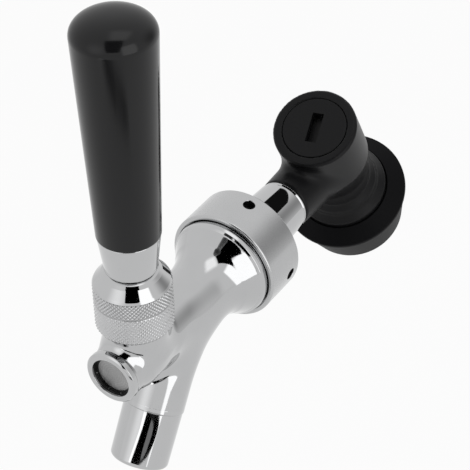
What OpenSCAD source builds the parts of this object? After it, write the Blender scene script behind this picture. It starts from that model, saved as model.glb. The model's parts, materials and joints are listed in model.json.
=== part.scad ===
// Draught beer tap. A lever faucet is joined by a coupling nut and a tapered adapter to a quick coupler
// that snaps on a keg post. Millimetres. The handle stands along +Z and the spout is on the -Y side.
// The origin lies on the coupler's leaning axis, where the bore that seals on the keg post begins.

/* [Handle] */
// Length of the grip from the ferrule to the edge of its dome
grip_len = 67.2; // [50:0.1:90]
// Radius of the grip at the ferrule
grip_base_r = 9.65; // [9:0.05:11]
// Radius of the grip at its top edge
grip_top_r = 12.15; // [11.2:0.05:15]
// Height of the dome over the top edge
grip_dome = 6.5; // [3:0.1:8]
// Length of the ferrule under the grip
ferrule_len = 12.7; // [9:0.1:18]
// Radius of the ferrule at its lower end
ferrule_base_r = 8.05; // [7.8:0.05:8.3]
// Free height between the bonnet and the ferrule
handle_gap = 1.8; // [1.6:0.1:6]
// Radius of the lever's stem
stem_r = 3; // [2.4:0.1:3.2]
// Radius of the thread that carries the grip
grip_thread_r = 4.7; // [3.4:0.1:5]
// Length of that thread over the ferrule's lower end
grip_thread_len = 26; // [20:0.5:34]
// Radius of the ball that the lever turns on
pivot_ball_r = 6; // [5:0.1:6.2]
// Height of the lever's pivot over the shaft's axis
pivot_z = 20; // [19:0.1:20.4]
// Radius of the lever's finger
finger_r = 2.2; // [1.6:0.1:2.4]
// Radius of the ball at the finger's end
finger_ball_r = 3; // [2.5:0.1:3.2]

/* [Bonnet] */
// Radius over the knurl
bonnet_r = 12; // [11.6:0.1:14]
// Height of the knurled band
knurl_h = 15.4; // [12:0.1:16]
// Height of the smooth shoulder over the knurl
bonnet_shoulder_h = 3.5; // [2.8:0.1:3.8]
// Radius of the flat lip on top
bonnet_lip_r = 9.2; // [8.4:0.1:10]
// Height of the knurled band's lower edge over the shaft's axis
bonnet_base_z = 13; // [12.2:0.1:13.4]
// Depth of the fine groove in the knurl
knurl_groove = 0.4; // [0.2:0.1:0.8]
// Height of the top seat washer
friction_washer_h = 4.1; // [3.2:0.1:4.6]

/* [Faucet body] */
// Outer radius of the valve barrel
barrel_r = 9.7; // [8.8:0.1:11]
// Radius of the bore that guides the shaft
main_bore_r = 6.65; // [6:0.05:7]
// Length of the front boss before the handle's axis
boss_len = 14.2; // [12:0.1:18]
// Outer radius of the front boss
boss_r = 8.9; // [8.2:0.05:9.6]
// Distance of the valve seat behind the handle's axis
seat_y = 34; // [33:0.1:36]
// Length of the seat ring
seat_len = 4; // [3:0.1:5]
// Radius of the hole through the seat ring
seat_bore_r = 5.5; // [4.2:0.1:6]
// Radius of the chamber behind the seat
chamber_r = 8.6; // [8.2:0.1:10]
// Outer radius of the neck that carries the bonnet
neck_r = 10.2; // [9.6:0.1:10.8]
// Height of the neck's top over the shaft's axis
neck_top_z = 22; // [21:0.1:23]
// Radius of the flange inside the coupling nut
flange_r = 17.2; // [16:0.1:18]
// Distance of the coupling nut's front face behind the handle's axis
joint_y = 47.2; // [46.5:0.1:52]
// Radius of the threaded spigot
spigot_r = 14.3; // [13:0.1:14.8]
// Length of the threaded spigot behind the flange
spigot_len = 7; // [6:0.1:8]

/* [Spout] */
// Lean of the spout from the vertical, in degrees
spout_tilt = 31; // [25:0.5:35]
// Distance behind the handle's axis where the spout's axis meets the shaft's axis
spout_root_y = 22.7; // [21:0.1:24]
// Length of the spout along its axis from there to its tip
spout_len = 51; // [46:0.1:65]
// Length of the turned end of the spout
spout_turned_len = 19; // [16:0.5:20]
// Outer radius where the turned end begins
spout_r = 9.6; // [8.8:0.1:9.8]
// Outer radius at the tip
spout_tip_r = 9.4; // [8.6:0.1:9.6]
// Rounding of the tip's outer edge
spout_edge = 2.2; // [0.8:0.1:2.6]
// Radius of the spout's passage
spout_bore_r = 6; // [5:0.1:6.2]
// Radius of the wider outlet at the tip
outlet_r = 6.6; // [6.3:0.05:6.8]
// Length of the wider outlet
outlet_len = 22; // [14:0.5:24]
// Outer radius of the cast elbow
elbow_r = 10; // [9.9:0.1:11]
// Radius of the elbow's bend at its middle line
elbow_bend_r = 42; // [38:0.5:44]

/* [Shaft] */
// Running clearance of the shaft's guide in the bore
shaft_gap = 0.06; // [0.03:0.01:0.1]
// Depth of the guide's end face inside the boss
shaft_recess = 2.05; // [1:0.05:3]
// Length of the guide behind the handle's axis
guide_rear = 7; // [5.5:0.1:9]
// Radius of the shaft's rod
rod_r = 2.5; // [2:0.1:3]
// Radius of the rubber seat
seat_washer_r = 7.5; // [6.8:0.1:8]
// Thickness of the rubber seat
seat_washer_h = 2.5; // [1.5:0.1:3.5]

/* [Coupling] */
// Outer radius of the coupling nut
nut_r = 19; // [18.5:0.1:22]
// Length of the coupling nut
nut_len = 16; // [15.5:0.1:20]
// Radius of the spanner holes
spanner_r = 2; // [1.2:0.1:2.6]
// Angle of the first spanner hole from the top, in degrees
spanner_phase = 10; // [0:1:45]
// Thickness of the gasket
gasket_h = 1.5; // [1:0.1:2.5]
// Radius of the tapered adapter at the coupling nut
adapter_front_r = 10.2; // [9.6:0.1:11]
// Radius of the tapered adapter at its rear end
adapter_rear_r = 9.25; // [8.4:0.05:9.6]
// Length of the taper behind the coupling nut
adapter_len = 20; // [14:0.1:24]
// Radius of the adapter's bore
adapter_bore_r = 3.5; // [2:0.1:4]

/* [Coupler] */
// Turn of the coupler on the adapter, about the shaft's axis, in degrees
coupler_turn = 2.6; // [-6:0.1:6]
// Lean of the coupler's axis from the vertical, in degrees
coupler_tilt = 29.5; // [25:0.5:33]
// Distance from the handle's axis to the coupler's axis, along the shaft's axis
coupler_y = 114.8; // [110:0.1:120]
// Height of the side arm over the coupler's mouth, along the coupler's axis
arm_h = 38; // [36:0.1:40]
// Height of the cap's face over the side arm, along the coupler's axis
cap_rise = 24.1; // [22:0.1:30]
// Outer radius of the coupler's barrel
coupler_r = 14.4; // [13.6:0.1:16]
// Outer radius of the side arm
arm_r = 9.6; // [9.2:0.1:10.4]
// Outer radius of the side arm at its end
arm_end_r = 9.1; // [8.4:0.1:10]
// Radius of the neck between the barrel and the skirt
waist_r = 11.8; // [11:0.1:13]
// Radius of the cap's disc
cap_r = 11; // [10:0.1:11.6]
// Turn of the driver slot in the cap, in degrees
slot_turn = 13; // [-90:1:90]
// Length of the driver slot in the cap
slot_len = 10.8; // [6:0.1:14]
// Width of the driver slot in the cap
slot_w = 3.9; // [2:0.1:4]
// Depth of the driver slot in the cap
slot_depth = 3.5; // [2:0.1:4.5]

/* [Keg post socket] */
// Radius of the bore that seals on the post
post_bore_r = 8.8; // [8.4:0.05:9]
// Length of that bore, which ends at the shoulder that the post stops on
post_bore_len = 13; // [12:0.1:14]
// Radius of the room for the valve's pin, behind the shoulder
pin_room_r = 7.4; // [5:0.1:8]
// Depth of that room
pin_room_len = 4; // [3:0.1:5]
// Radius of the wider mouth, where the balls work
mouth_r = 9.9; // [9.6:0.05:10.1]
// Length of the wider mouth
mouth_len = 9; // [8.6:0.1:9.4]
// Outer radius of the skirt inside the sleeve
skirt_r = 11.6; // [11.3:0.05:11.7]
// Radius of a locking ball
ball_r = 2.38; // [2.2:0.02:2.5]
// Height of the balls over the mouth
ball_h = 5.5; // [5.2:0.1:5.8]
// How far the locked balls stand in over the post's groove
ball_bite = 0.8; // [0.5:0.05:0.9]

/* [Locking sleeve] */
// Outer radius of the sleeve's rim
sleeve_r = 22.2; // [21.5:0.1:24]
// Height of the sleeve's inner top edge over the mouth
sleeve_top_h = 16.2; // [15.8:0.1:17]
// Radius of the sleeve's top opening
sleeve_in_r = 16.2; // [16:0.1:17]
// Depth of the step from the rim to the tapered wall under it
sleeve_step = 0.5; // [0.3:0.1:1]
// Outer radius of the tapered wall at its foot
sleeve_foot_r = 17.7; // [17.4:0.1:20]
// How far the foot reaches below the mouth
sleeve_foot = 6; // [3:0.1:8]
// Height of the lower end of the ramp for the balls, over the mouth
ramp_base_h = 2.2; // [1.6:0.1:2.4]
// Travel of the sleeve when it is lifted
sleeve_travel = 4; // [3.7:0.1:4.2]

/* [Hidden] */
$fn = 64;
eps = 0.01;
// Clearance of parts that screw or push together and stay
thread_gap = 0.1;
// Running clearance of balls in their seats and windows
ball_gap = 0.06;
// Clearance of sliding parts that are not a guide
free_gap = 0.25;
chrome = [0.72, 0.73, 0.75];
steel = [0.6, 0.6, 0.6];
black = [0.09, 0.09, 0.1];
rubber_black = [0.05, 0.05, 0.05];

// Heights of the handle, over the shaft's axis
knurl_top_z = bonnet_base_z + knurl_h;
lip_z = knurl_top_z + bonnet_shoulder_h;
ferrule_z = lip_z + handle_gap;
grip_z = ferrule_z + ferrule_len;
grip_top_z = grip_z + grip_len;
// Power below 1 that makes the dome a little fuller than an ellipse
dome_bend = 0.9;
// Depth of the dish under the ferrule, which clears the bonnet's lip as the handle leans
ferrule_dish_h = 1.2;
// Largest lean of the handle that the model is made for, in degrees
handle_swing = 15;
pivot_cavity_r = pivot_ball_r + 1.6;
pivot_floor_z = pivot_z - pivot_ball_r - 1.4;
washer_top_z = pivot_z + 0.3 + friction_washer_h;
// Reach of a rod of radius r at height h from the pivot when the lever is over
function swing_reach(h, r) = h * tan(handle_swing) + r / cos(handle_swing) + 0.2;
washer_hole_r = swing_reach(washer_top_z - pivot_z, stem_r);
finger_slot_w = finger_ball_r + 0.15;
// Distance from the spout's root to both ends of the elbow's bend
elbow_reach = elbow_bend_r * tan((90 - spout_tilt) / 2);

// Places along the shaft's axis, from the handle's axis
flange_back_y = joint_y + 2.8;
spigot_end_y = flange_back_y + spigot_len;
adapter_y = spigot_end_y + gasket_h;
nut_back_y = joint_y + nut_len;
nut_wall = 2.2;
adapter_flange_h = nut_back_y - nut_wall - adapter_y;
adapter_bead = 1.4;
arm_end_y = nut_back_y + adapter_len + adapter_bead;
flare_r = 5.5;
flare_len = 8;
guide_r = main_bore_r - shaft_gap;
guide_front_y = -boss_len + shaft_recess;
seat_back_y = seat_y + seat_len;
shaft_nut_h = 3;
shaft_end_y = seat_back_y + seat_washer_h + shaft_nut_h + 1.2;

// Heights in the coupler, over its mouth
cap_face_h = arm_h + cap_rise;
shoulder_h = mouth_len + post_bore_len;
seat_floor_h = shoulder_h + pin_room_len;
valve_floor_h = seat_floor_h + 4;
valve_r = 8;
cap_thread_r = cap_r - 0.5;
cap_len = 9;
cap_seal_h = 1.2;
cap_base_h = cap_face_h - cap_len;
guide_base_h = sleeve_top_h - 1.4;
guide_top_h = sleeve_top_h + sleeve_travel + 0.3;
skirt_guide_r = sleeve_in_r - free_gap;
ramp_ratio = 0.28;
ramp_over_ball = 3;
ramp_top_h = ball_h + ramp_over_ball;
ball_c_r = post_bore_r - ball_bite + ball_r;
ramp_r = ball_c_r + (ball_r + ball_gap) * sqrt(1 + ramp_ratio * ramp_ratio);
function ramp_at(h) = ramp_r - ramp_ratio * (h - ball_h);
ball_angles = [-90, 30, 150];
sleeve_wall_r = sleeve_r - sleeve_step;
sleeve_rim_h = sleeve_top_h - 3.2;
retainer_h = 1;
poppet_r = 6.4;
poppet_pin_r = 2.2;
seat_hole_r = poppet_pin_r + 1;
poppet_seal_h = 1.5;
poppet_body_h = 3;
poppet_tail_h = 3;
poppet_coil_r = poppet_r - 1.6;
poppet_wire_r = 0.45;
sleeve_wire_r = 0.35;
sleeve_shell = 2.4;
sleeve_wall_top_h = sleeve_rim_h - 1.8;
// Outer radius of the sleeve's tapered wall at height h over the mouth
function sleeve_wall_at(h) = sleeve_foot_r
    + (sleeve_wall_r - sleeve_foot_r) * (h + sleeve_foot) / (sleeve_wall_top_h + sleeve_foot);

// Where the coupler's axis crosses the shaft's axis, from the origin
function coupler_cross() = let (s = sin(coupler_tilt), c = cos(coupler_tilt), h = arm_h - mouth_len)
    [h * c * sin(coupler_turn), -h * s, h * c * cos(coupler_turn)];

module tap_frame() {
    translate(coupler_cross() - [0, coupler_y, 0]) children();
}

module coupler_frame() {
    rotate([0, coupler_turn, 0]) rotate([coupler_tilt, 0, 0]) translate([0, 0, -mouth_len]) children();
}

// Turns a shape from the Z axis on to the shaft's axis, its base towards the handle
module along_shaft(y = 0) {
    translate([0, y, 0]) rotate([-90, 0, 0]) children();
}

// Turns a shape from the Z axis on to the spout's axis, s along the spout from its root
module along_spout(s = 0) {
    translate([0, spout_root_y, 0]) rotate([180 - spout_tilt, 0, 0]) translate([0, 0, s]) children();
}

module tube(r_out, r_in, h) {
    difference() {
        cylinder(r = r_out, h = h);
        translate([0, 0, -eps]) cylinder(r = r_in, h = h + 2 * eps);
    }
}

// A closed skin over a list of rings that all have the same number of points
module skin(rings) {
    n = len(rings[0]);
    m = len(rings);
    polyhedron(
        points = [for (ring = rings, p = ring) p],
        faces = concat(
            [[for (i = [n - 1:-1:0]) i]],
            [for (j = [0:m - 2], i = [0:n - 1]) [j * n + i, j * n + (i + 1) % n, (j + 1) * n + (i + 1) % n]],
            [for (j = [0:m - 2], i = [0:n - 1]) [j * n + i, (j + 1) * n + (i + 1) % n, (j + 1) * n + i]],
            [[for (i = [0:n - 1]) (m - 1) * n + i]]));
}

// A round wire wound into a coil along Z with closed ends, from z = 0 to z = h over the wire
module coil(mean_r, wire_r, h, turns, per_turn = 18, sides = 6) {
    steps = turns * per_turn;
    rise = h - 2 * wire_r;
    function climb(t) = let (c = 0.16) t < c ? 0 : t > 1 - c ? 1 : (t - c) / (1 - 2 * c);
    skin([for (k = [0:steps]) let (a = 360 * k / per_turn, z = wire_r + rise * climb(k / steps))
        [for (i = [0:sides - 1]) let (b = -360 * i / sides, r = mean_r + wire_r * cos(b))
            [r * cos(a), r * sin(a), z + wire_r * sin(b)]]]);
}

module grip() color(black) tap_frame() {
    difference() {
        rotate_extrude() polygon(concat(
            [[0, grip_z], [grip_base_r - 0.3, grip_z], [grip_base_r, grip_z + 0.4]],
            [for (a = [0:9:81]) [grip_top_r * pow(cos(a), dome_bend),
                grip_top_z + grip_dome * pow(sin(a), dome_bend)]],
            [[0, grip_top_z + grip_dome]]));
        translate([0, 0, grip_z - eps]) cylinder(r = 6 + thread_gap, h = 4 + thread_gap);
        translate([0, 0, grip_z])
            cylinder(r = grip_thread_r + thread_gap, h = grip_thread_len - ferrule_len + 1);
    }
}

module grip_ferrule() color(chrome) tap_frame() {
    difference() {
        rotate_extrude() polygon([[0, ferrule_z], [ferrule_base_r - 0.7, ferrule_z],
            [ferrule_base_r, ferrule_z + 0.5], [ferrule_base_r, ferrule_z + 1.2],
            [grip_base_r - 0.15, grip_z - 0.4], [grip_base_r - 0.5, grip_z],
            [6, grip_z], [6, grip_z + 4], [0, grip_z + 4]]);
        translate([0, 0, ferrule_z - eps]) cylinder(r = grip_thread_r + thread_gap, h = ferrule_len + 5);
        translate([0, 0, ferrule_z - eps]) cylinder(r = ferrule_base_r - 1.05, h = ferrule_dish_h + eps);
    }
}

module lever() color(chrome) tap_frame() {
    translate([0, 0, pivot_z]) sphere(r = pivot_ball_r);
    translate([0, 0, pivot_z]) cylinder(r = stem_r, h = ferrule_z - pivot_z + 1);
    translate([0, 0, ferrule_z + 0.4]) cylinder(r1 = stem_r, r2 = grip_thread_r, h = grip_thread_r - stem_r);
    translate([0, 0, ferrule_z + 0.4 + grip_thread_r - stem_r])
        cylinder(r = grip_thread_r, h = grip_thread_len - grip_thread_r + stem_r - 0.4);
    cylinder(r = finger_r, h = pivot_z);
    sphere(r = finger_ball_r);
}

module bonnet_nut() color(chrome) tap_frame() {
    groove_z = bonnet_base_z + 0.62 * knurl_h;
    top_hole_r = swing_reach(lip_z - pivot_z, stem_r);
    difference() {
        rotate_extrude() polygon([
            [0, bonnet_base_z], [bonnet_r - 0.9, bonnet_base_z], [bonnet_r, bonnet_base_z + 0.8],
            [bonnet_r, groove_z - 0.3], [bonnet_r - knurl_groove, groove_z], [bonnet_r, groove_z + 0.3],
            [bonnet_r, knurl_top_z], [bonnet_r - 0.5, knurl_top_z + 0.9], [bonnet_r - 1.5, knurl_top_z + 2.1],
            [bonnet_lip_r, lip_z], [0, lip_z]]);
        translate([0, 0, bonnet_base_z - eps])
            cylinder(r = neck_r + thread_gap, h = neck_top_z + 0.6 - bonnet_base_z);
        translate([0, 0, neck_top_z]) cylinder(r = pivot_cavity_r, h = washer_top_z - neck_top_z);
        translate([0, 0, washer_top_z - eps])
            cylinder(r1 = washer_hole_r, r2 = top_hole_r, h = lip_z - washer_top_z + 2 * eps);
    }
}

// Upper bearing ring of the pivot, pressed down by the bonnet
module friction_washer() color("ivory") tap_frame() {
    difference() {
        translate([0, 0, washer_top_z - friction_washer_h])
            cylinder(r = pivot_cavity_r - thread_gap, h = friction_washer_h);
        translate([0, 0, pivot_z]) sphere(r = pivot_ball_r + ball_gap);
        translate([0, 0, pivot_z]) cylinder(r = washer_hole_r, h = friction_washer_h + 1);
    }
}

// Lower bearing ring of the pivot, seated on the neck's floor
module pivot_seat() color("ivory") tap_frame() {
    difference() {
        translate([0, 0, pivot_floor_z])
            cylinder(r = pivot_cavity_r - thread_gap, h = pivot_z - 0.3 - pivot_floor_z);
        translate([0, 0, pivot_z]) sphere(r = pivot_ball_r + ball_gap);
        translate([0, 0, pivot_floor_z - eps])
            cylinder(r = swing_reach(pivot_z - pivot_floor_z, finger_r), h = pivot_ball_r);
    }
}

// The cast elbow: a round bend from the flange's root towards the spout
module elbow() {
    translate([0, spout_root_y + elbow_reach, -elbow_bend_r]) rotate([90, 0, 90]) rotate([0, 0, 90])
        rotate_extrude(angle = 90 - spout_tilt) translate([elbow_bend_r, 0]) circle(r = elbow_r);
}

// The straight end of the elbow and the turned end of the spout
module spout_end() {
    s0 = spout_len - spout_turned_len;
    along_spout() rotate_extrude() polygon(concat(
        [[0, elbow_reach - 1.5], [elbow_r - 1, elbow_reach - 1.5], [elbow_r, elbow_reach + 0.2],
            [spout_r + 0.15, s0 - 0.3], [spout_r, s0]],
        [for (a = [0:15:90])
            [spout_tip_r - spout_edge * (1 - cos(a)), spout_len - spout_edge * (1 - sin(a))]],
        [[0, spout_len]]));
}

// The barrel with its boss in front and the bell, flange and threaded spigot behind
module valve_case() {
    along_shaft() rotate_extrude() polygon(concat(
        [[0, -boss_len], [boss_r - 0.6, -boss_len], [boss_r - 0.15, -boss_len + 0.2],
            [boss_r, -boss_len + 0.7], [boss_r - 0.1, -boss_len + 2], [boss_r - 0.35, -boss_len + 2.6],
            [boss_r - 0.1, -boss_len + 5.5], [barrel_r, -boss_len + 9]],
        [for (a = [0:10:60])
            [barrel_r + (flange_r - barrel_r - 1) * (1 - cos(a)) * 1.15, seat_y - 3 + 10.6 * sin(a)]],
        [[flange_r - 0.9, joint_y - 2.9], [flange_r - 0.25, joint_y - 2.2], [flange_r, joint_y - 1.4],
            [flange_r, flange_back_y], [spigot_r, flange_back_y],
            [spigot_r, spigot_end_y - 0.6], [spigot_r - 0.6, spigot_end_y], [0, spigot_end_y]]));
}

module neck() {
    rotate_extrude() polygon([
        [0, -5.5], [5, -5.2], [8.2, -3.4], [neck_r - 0.4, -0.6], [neck_r + 0.3, 3],
        [neck_r + 0.2, 6], [neck_r, 8.5],
        [neck_r, neck_top_z - 0.5], [neck_r - 0.5, neck_top_z], [0, neck_top_z]]);
}

module faucet_body() color(chrome) tap_frame() {
    slot_back = swing_reach(pivot_z - main_bore_r + 1, finger_r);
    difference() {
        union() {
            valve_case();
            elbow();
            spout_end();
            neck();
        }
        along_shaft(-boss_len - 1) cylinder(r = main_bore_r, h = boss_len + 1 + seat_y);
        along_shaft(seat_y - 1) cylinder(r = seat_bore_r, h = seat_len + 2);
        along_shaft(seat_back_y) cylinder(r = chamber_r, h = spigot_end_y - seat_back_y + 1);
        along_spout(2) cylinder(r = spout_bore_r, h = spout_len);
        along_spout(spout_len - outlet_len) cylinder(r = outlet_r, h = outlet_len + 1);
        translate([0, 0, pivot_floor_z]) cylinder(r = pivot_cavity_r, h = neck_top_z);
        translate([-finger_slot_w, -finger_slot_w, 3])
            cube([2 * finger_slot_w, finger_slot_w + slot_back, pivot_floor_z - 2]);
    }
}

// Sliding shaft: a guide with a slot for the lever's finger, and a rod that carries the seat
module shaft() color(steel) tap_frame() {
    slot_front = swing_reach(guide_r, finger_r);
    difference() {
        union() {
            along_shaft(guide_front_y) cylinder(r = guide_r, h = guide_rear - guide_front_y);
            along_shaft(guide_rear - eps) cylinder(r1 = rod_r + 2, r2 = rod_r, h = 2);
            along_shaft(guide_rear) cylinder(r = rod_r, h = shaft_end_y - guide_rear);
        }
        rotate([90, 0, 90]) translate([0, 0, -finger_slot_w]) linear_extrude(2 * finger_slot_w)
            polygon([[-finger_slot_w, -finger_ball_r - 0.6], [finger_slot_w, -finger_ball_r - 0.6],
                [finger_slot_w, main_bore_r + 1], [-slot_front, main_bore_r + 1], [-finger_slot_w, 1]]);
    }
}

module shaft_seat() color(rubber_black) tap_frame()
    along_shaft(seat_back_y) tube(seat_washer_r, rod_r, seat_washer_h);

module shaft_nut() color(steel) tap_frame()
    along_shaft(seat_back_y + seat_washer_h) difference() {
        cylinder(r = rod_r + 2.2, h = shaft_nut_h, $fn = 6);
        translate([0, 0, -eps]) cylinder(r = rod_r, h = shaft_nut_h + 2 * eps);
    }

module coupling_gasket() color(rubber_black) tap_frame()
    along_shaft(spigot_end_y) tube(spigot_r - 0.6, chamber_r, gasket_h);

module coupling_nut() color(chrome) tap_frame() {
    rim = flange_r + 0.3;
    difference() {
        along_shaft() rotate_extrude() polygon([[rim, joint_y], [nut_r - 1, joint_y], [nut_r, joint_y + 0.9],
            [nut_r, nut_back_y - 0.5], [nut_r - 0.5, nut_back_y],
            [adapter_front_r + 0.3, nut_back_y], [adapter_front_r + 0.3, nut_back_y - nut_wall],
            [spigot_r + thread_gap, nut_back_y - nut_wall], [spigot_r + thread_gap, flange_back_y],
            [rim, flange_back_y]]);
        for (k = [0:3]) along_shaft(joint_y + 11.4) rotate([0, 0, 90 * k + spanner_phase]) rotate([90, 0, 0])
            translate([0, 0, nut_r - 3]) cylinder(r = spanner_r, h = 6);
    }
}

module adapter() color(chrome) tap_frame() {
    end_y = nut_back_y + adapter_len;
    difference() {
        along_shaft() rotate_extrude() polygon([[0, adapter_y], [spigot_r - 0.2, adapter_y],
            [spigot_r - 0.2, adapter_y + adapter_flange_h], [adapter_front_r, adapter_y + adapter_flange_h],
            [adapter_front_r, nut_back_y], [adapter_rear_r, end_y - 0.4], [adapter_rear_r - 0.4, end_y],
            [adapter_rear_r - 0.5, end_y + 0.2], [adapter_rear_r - 0.1, end_y + 0.5],
            [adapter_rear_r - 0.1, end_y + 0.9],
            [adapter_rear_r - 0.5, end_y + adapter_bead], [0, end_y + adapter_bead]]);
        along_shaft(adapter_y - 1) cylinder(r = adapter_bore_r, h = arm_end_y - adapter_y + 2);
        along_shaft(arm_end_y - flare_len - 1.2) cylinder(r = flare_r + thread_gap, h = flare_len + 2);
    }
}

module flare_washer() color("ivory") tap_frame()
    along_shaft(arm_end_y - flare_len - 1.2) tube(flare_r, adapter_bore_r, 1.2 - eps);

module coupler_shell() {
    rotate_extrude() polygon([[0, 0], [skirt_r - 0.6, 0], [skirt_r, 0.6], [skirt_r, guide_base_h],
        [skirt_guide_r, guide_base_h], [skirt_guide_r, guide_top_h - 2.6],
        [skirt_guide_r - 0.5, guide_top_h - 2.2],
        [waist_r + 2, guide_top_h], [waist_r + 1.6, guide_top_h + 2.2], [waist_r + 1.1, guide_top_h + 2.8],
        [waist_r, guide_top_h + 4.5], [waist_r, arm_h - 7], [waist_r + 0.6, arm_h - 4],
        [coupler_r - 0.7, arm_h + 1],
        [coupler_r, arm_h + 4], [coupler_r, cap_face_h - 0.8], [coupler_r - 0.6, cap_face_h - 0.15],
        [coupler_r - 1.2, cap_face_h], [0, cap_face_h]]);
}

module side_arm() {
    // The arm lies along the shaft's axis, which leans back from the coupler's own axis
    translate([0, 0, arm_h]) rotate([90 - coupler_tilt, 0, 0]) rotate_extrude() {
        reach = coupler_y - arm_end_y;
        polygon([[0, 0], [arm_r - 2.6, 0],
            [arm_r + 1.4, coupler_r - 3], [arm_r + 0.5, coupler_r + 1], [arm_r, coupler_r + 4],
            [arm_end_r, reach - 0.6], [arm_end_r - 0.6, reach], [flare_r, reach],
            [flare_r, reach + flare_len - 0.5], [flare_r - 0.5, reach + flare_len], [0, reach + flare_len]]);
    }
}

module coupler_body() color(black) coupler_frame() {
    difference() {
        union() {
            coupler_shell();
            side_arm();
        }
        translate([0, 0, -1]) cylinder(r = mouth_r, h = mouth_len + 1);
        translate([0, 0, mouth_len - eps]) cylinder(r = post_bore_r, h = post_bore_len + eps);
        translate([0, 0, shoulder_h - eps]) cylinder(r = pin_room_r, h = pin_room_len + eps);
        translate([0, 0, seat_floor_h - 1]) cylinder(r = seat_hole_r, h = 6);
        translate([0, 0, valve_floor_h])
            cylinder(r = valve_r, h = cap_base_h - cap_seal_h - valve_floor_h + eps);
        translate([0, 0, cap_base_h - cap_seal_h]) cylinder(r = cap_thread_r + thread_gap, h = cap_len + 3);
        translate([0, 0, cap_face_h - 1.5]) cylinder(r = cap_r + 0.15, h = 3);
        translate([0, 0, arm_h]) rotate([90 - coupler_tilt, 0, 0])
            cylinder(r = adapter_bore_r, h = coupler_y);
        for (a = ball_angles) rotate([0, 0, a]) translate([mouth_r - 2, 0, ball_h]) rotate([0, 90, 0])
            cylinder(r = ball_r + ball_gap, h = skirt_r - mouth_r + 3);
        translate([0, 0, ramp_base_h - retainer_h]) tube(skirt_r + 1, skirt_r - 0.7, retainer_h);
    }
}

module coupler_cap() color(black) coupler_frame() {
    difference() {
        union() {
            translate([0, 0, cap_base_h]) cylinder(r = cap_thread_r, h = cap_len - 1);
            translate([0, 0, cap_face_h - 1.5]) cylinder(r = cap_r, h = 1.5);
        }
        rotate([0, 0, slot_turn]) translate([-slot_w / 2, -slot_len / 2, cap_face_h - slot_depth])
            cube([slot_w, slot_len, slot_depth + 1]);
    }
}

module cap_seal() color(rubber_black) coupler_frame()
    translate([0, 0, cap_base_h - cap_seal_h]) tube(cap_thread_r, valve_r, cap_seal_h);

module poppet() color(steel) coupler_frame() {
    translate([0, 0, shoulder_h + free_gap])
        cylinder(r = poppet_pin_r, h = valve_floor_h + 1 - shoulder_h - free_gap);
    translate([0, 0, valve_floor_h + poppet_seal_h]) cylinder(r = poppet_r, h = poppet_body_h);
    translate([0, 0, valve_floor_h])
        cylinder(r = poppet_pin_r, h = poppet_seal_h + poppet_body_h + poppet_tail_h);
}

module poppet_seal() color(rubber_black) coupler_frame()
    translate([0, 0, valve_floor_h]) tube(poppet_r - 0.4, poppet_pin_r, poppet_seal_h);

module poppet_spring() color(steel) coupler_frame() {
    base = valve_floor_h + poppet_seal_h + poppet_body_h;
    translate([0, 0, base]) coil(poppet_coil_r, poppet_wire_r, cap_base_h - base, 6);
}

module locking_sleeve() color(black) coupler_frame() {
    foot_in_r = sleeve_foot_r - sleeve_shell;
    rotate_extrude() polygon([
        [ramp_at(ramp_base_h), ramp_base_h], [sleeve_wall_at(ramp_base_h) - sleeve_shell, ramp_base_h],
        [foot_in_r, 0.3 - sleeve_foot], [foot_in_r + 0.3, -sleeve_foot],
        [sleeve_foot_r - 0.8, -sleeve_foot], [sleeve_wall_at(0.8 - sleeve_foot), 0.8 - sleeve_foot],
        [sleeve_wall_r, sleeve_wall_top_h], [sleeve_r, sleeve_rim_h - 1.2],
        [sleeve_r, sleeve_rim_h - 0.3], [sleeve_r - 0.6, sleeve_rim_h + 0.2],
        [sleeve_in_r + 0.8, sleeve_top_h - 0.3], [sleeve_in_r + 0.3, sleeve_top_h],
        [sleeve_in_r, sleeve_top_h - 0.2], [sleeve_in_r, sleeve_rim_h],
        [sleeve_wall_r - sleeve_shell, sleeve_rim_h - 2],
        [sleeve_wall_at(ramp_top_h) - sleeve_shell, ramp_top_h],
        [ramp_at(ramp_top_h), ramp_top_h]]);
}

module lock_ball(a) color(steel) coupler_frame()
    rotate([0, 0, a]) translate([ball_c_r, 0, ball_h]) sphere(r = ball_r);
module lock_ball_1() lock_ball(ball_angles[0]);
module lock_ball_2() lock_ball(ball_angles[1]);
module lock_ball_3() lock_ball(ball_angles[2]);

module sleeve_spring() color(steel) coupler_frame()
    translate([0, 0, ramp_top_h])
        coil((skirt_r + skirt_guide_r) / 2, sleeve_wire_r, guide_base_h - ramp_top_h, 2);

// Snap ring in a groove of the skirt, which stops the sleeve
module sleeve_retainer() color(steel) coupler_frame()
    translate([0, 0, ramp_base_h - retainer_h]) tube(ramp_at(ramp_base_h) + 1.2, skirt_r - 0.7, retainer_h);

grip();
grip_ferrule();
lever();
bonnet_nut();
friction_washer();
pivot_seat();
faucet_body();
shaft();
shaft_seat();
shaft_nut();
coupling_gasket();
coupling_nut();
adapter();
flare_washer();
coupler_body();
coupler_cap();
cap_seal();
poppet();
poppet_seal();
poppet_spring();
locking_sleeve();
lock_ball_1();
lock_ball_2();
lock_ball_3();
sleeve_spring();
sleeve_retainer();
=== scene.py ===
"""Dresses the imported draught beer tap: polished shells, knurl, finishes, studio and camera.

Sizes of the tap are in millimetres in the frame of the piece's own axis, and each mesh
is brought into the row frame, in metres, when it is made. The studio is in metres.
"""

from __future__ import annotations

import json
import logging
import math
from dataclasses import dataclass
from enum import Enum
from typing import Callable, Iterable, Sequence

import bmesh
import bpy
import numpy as np
from mathutils import Matrix, Vector

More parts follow.
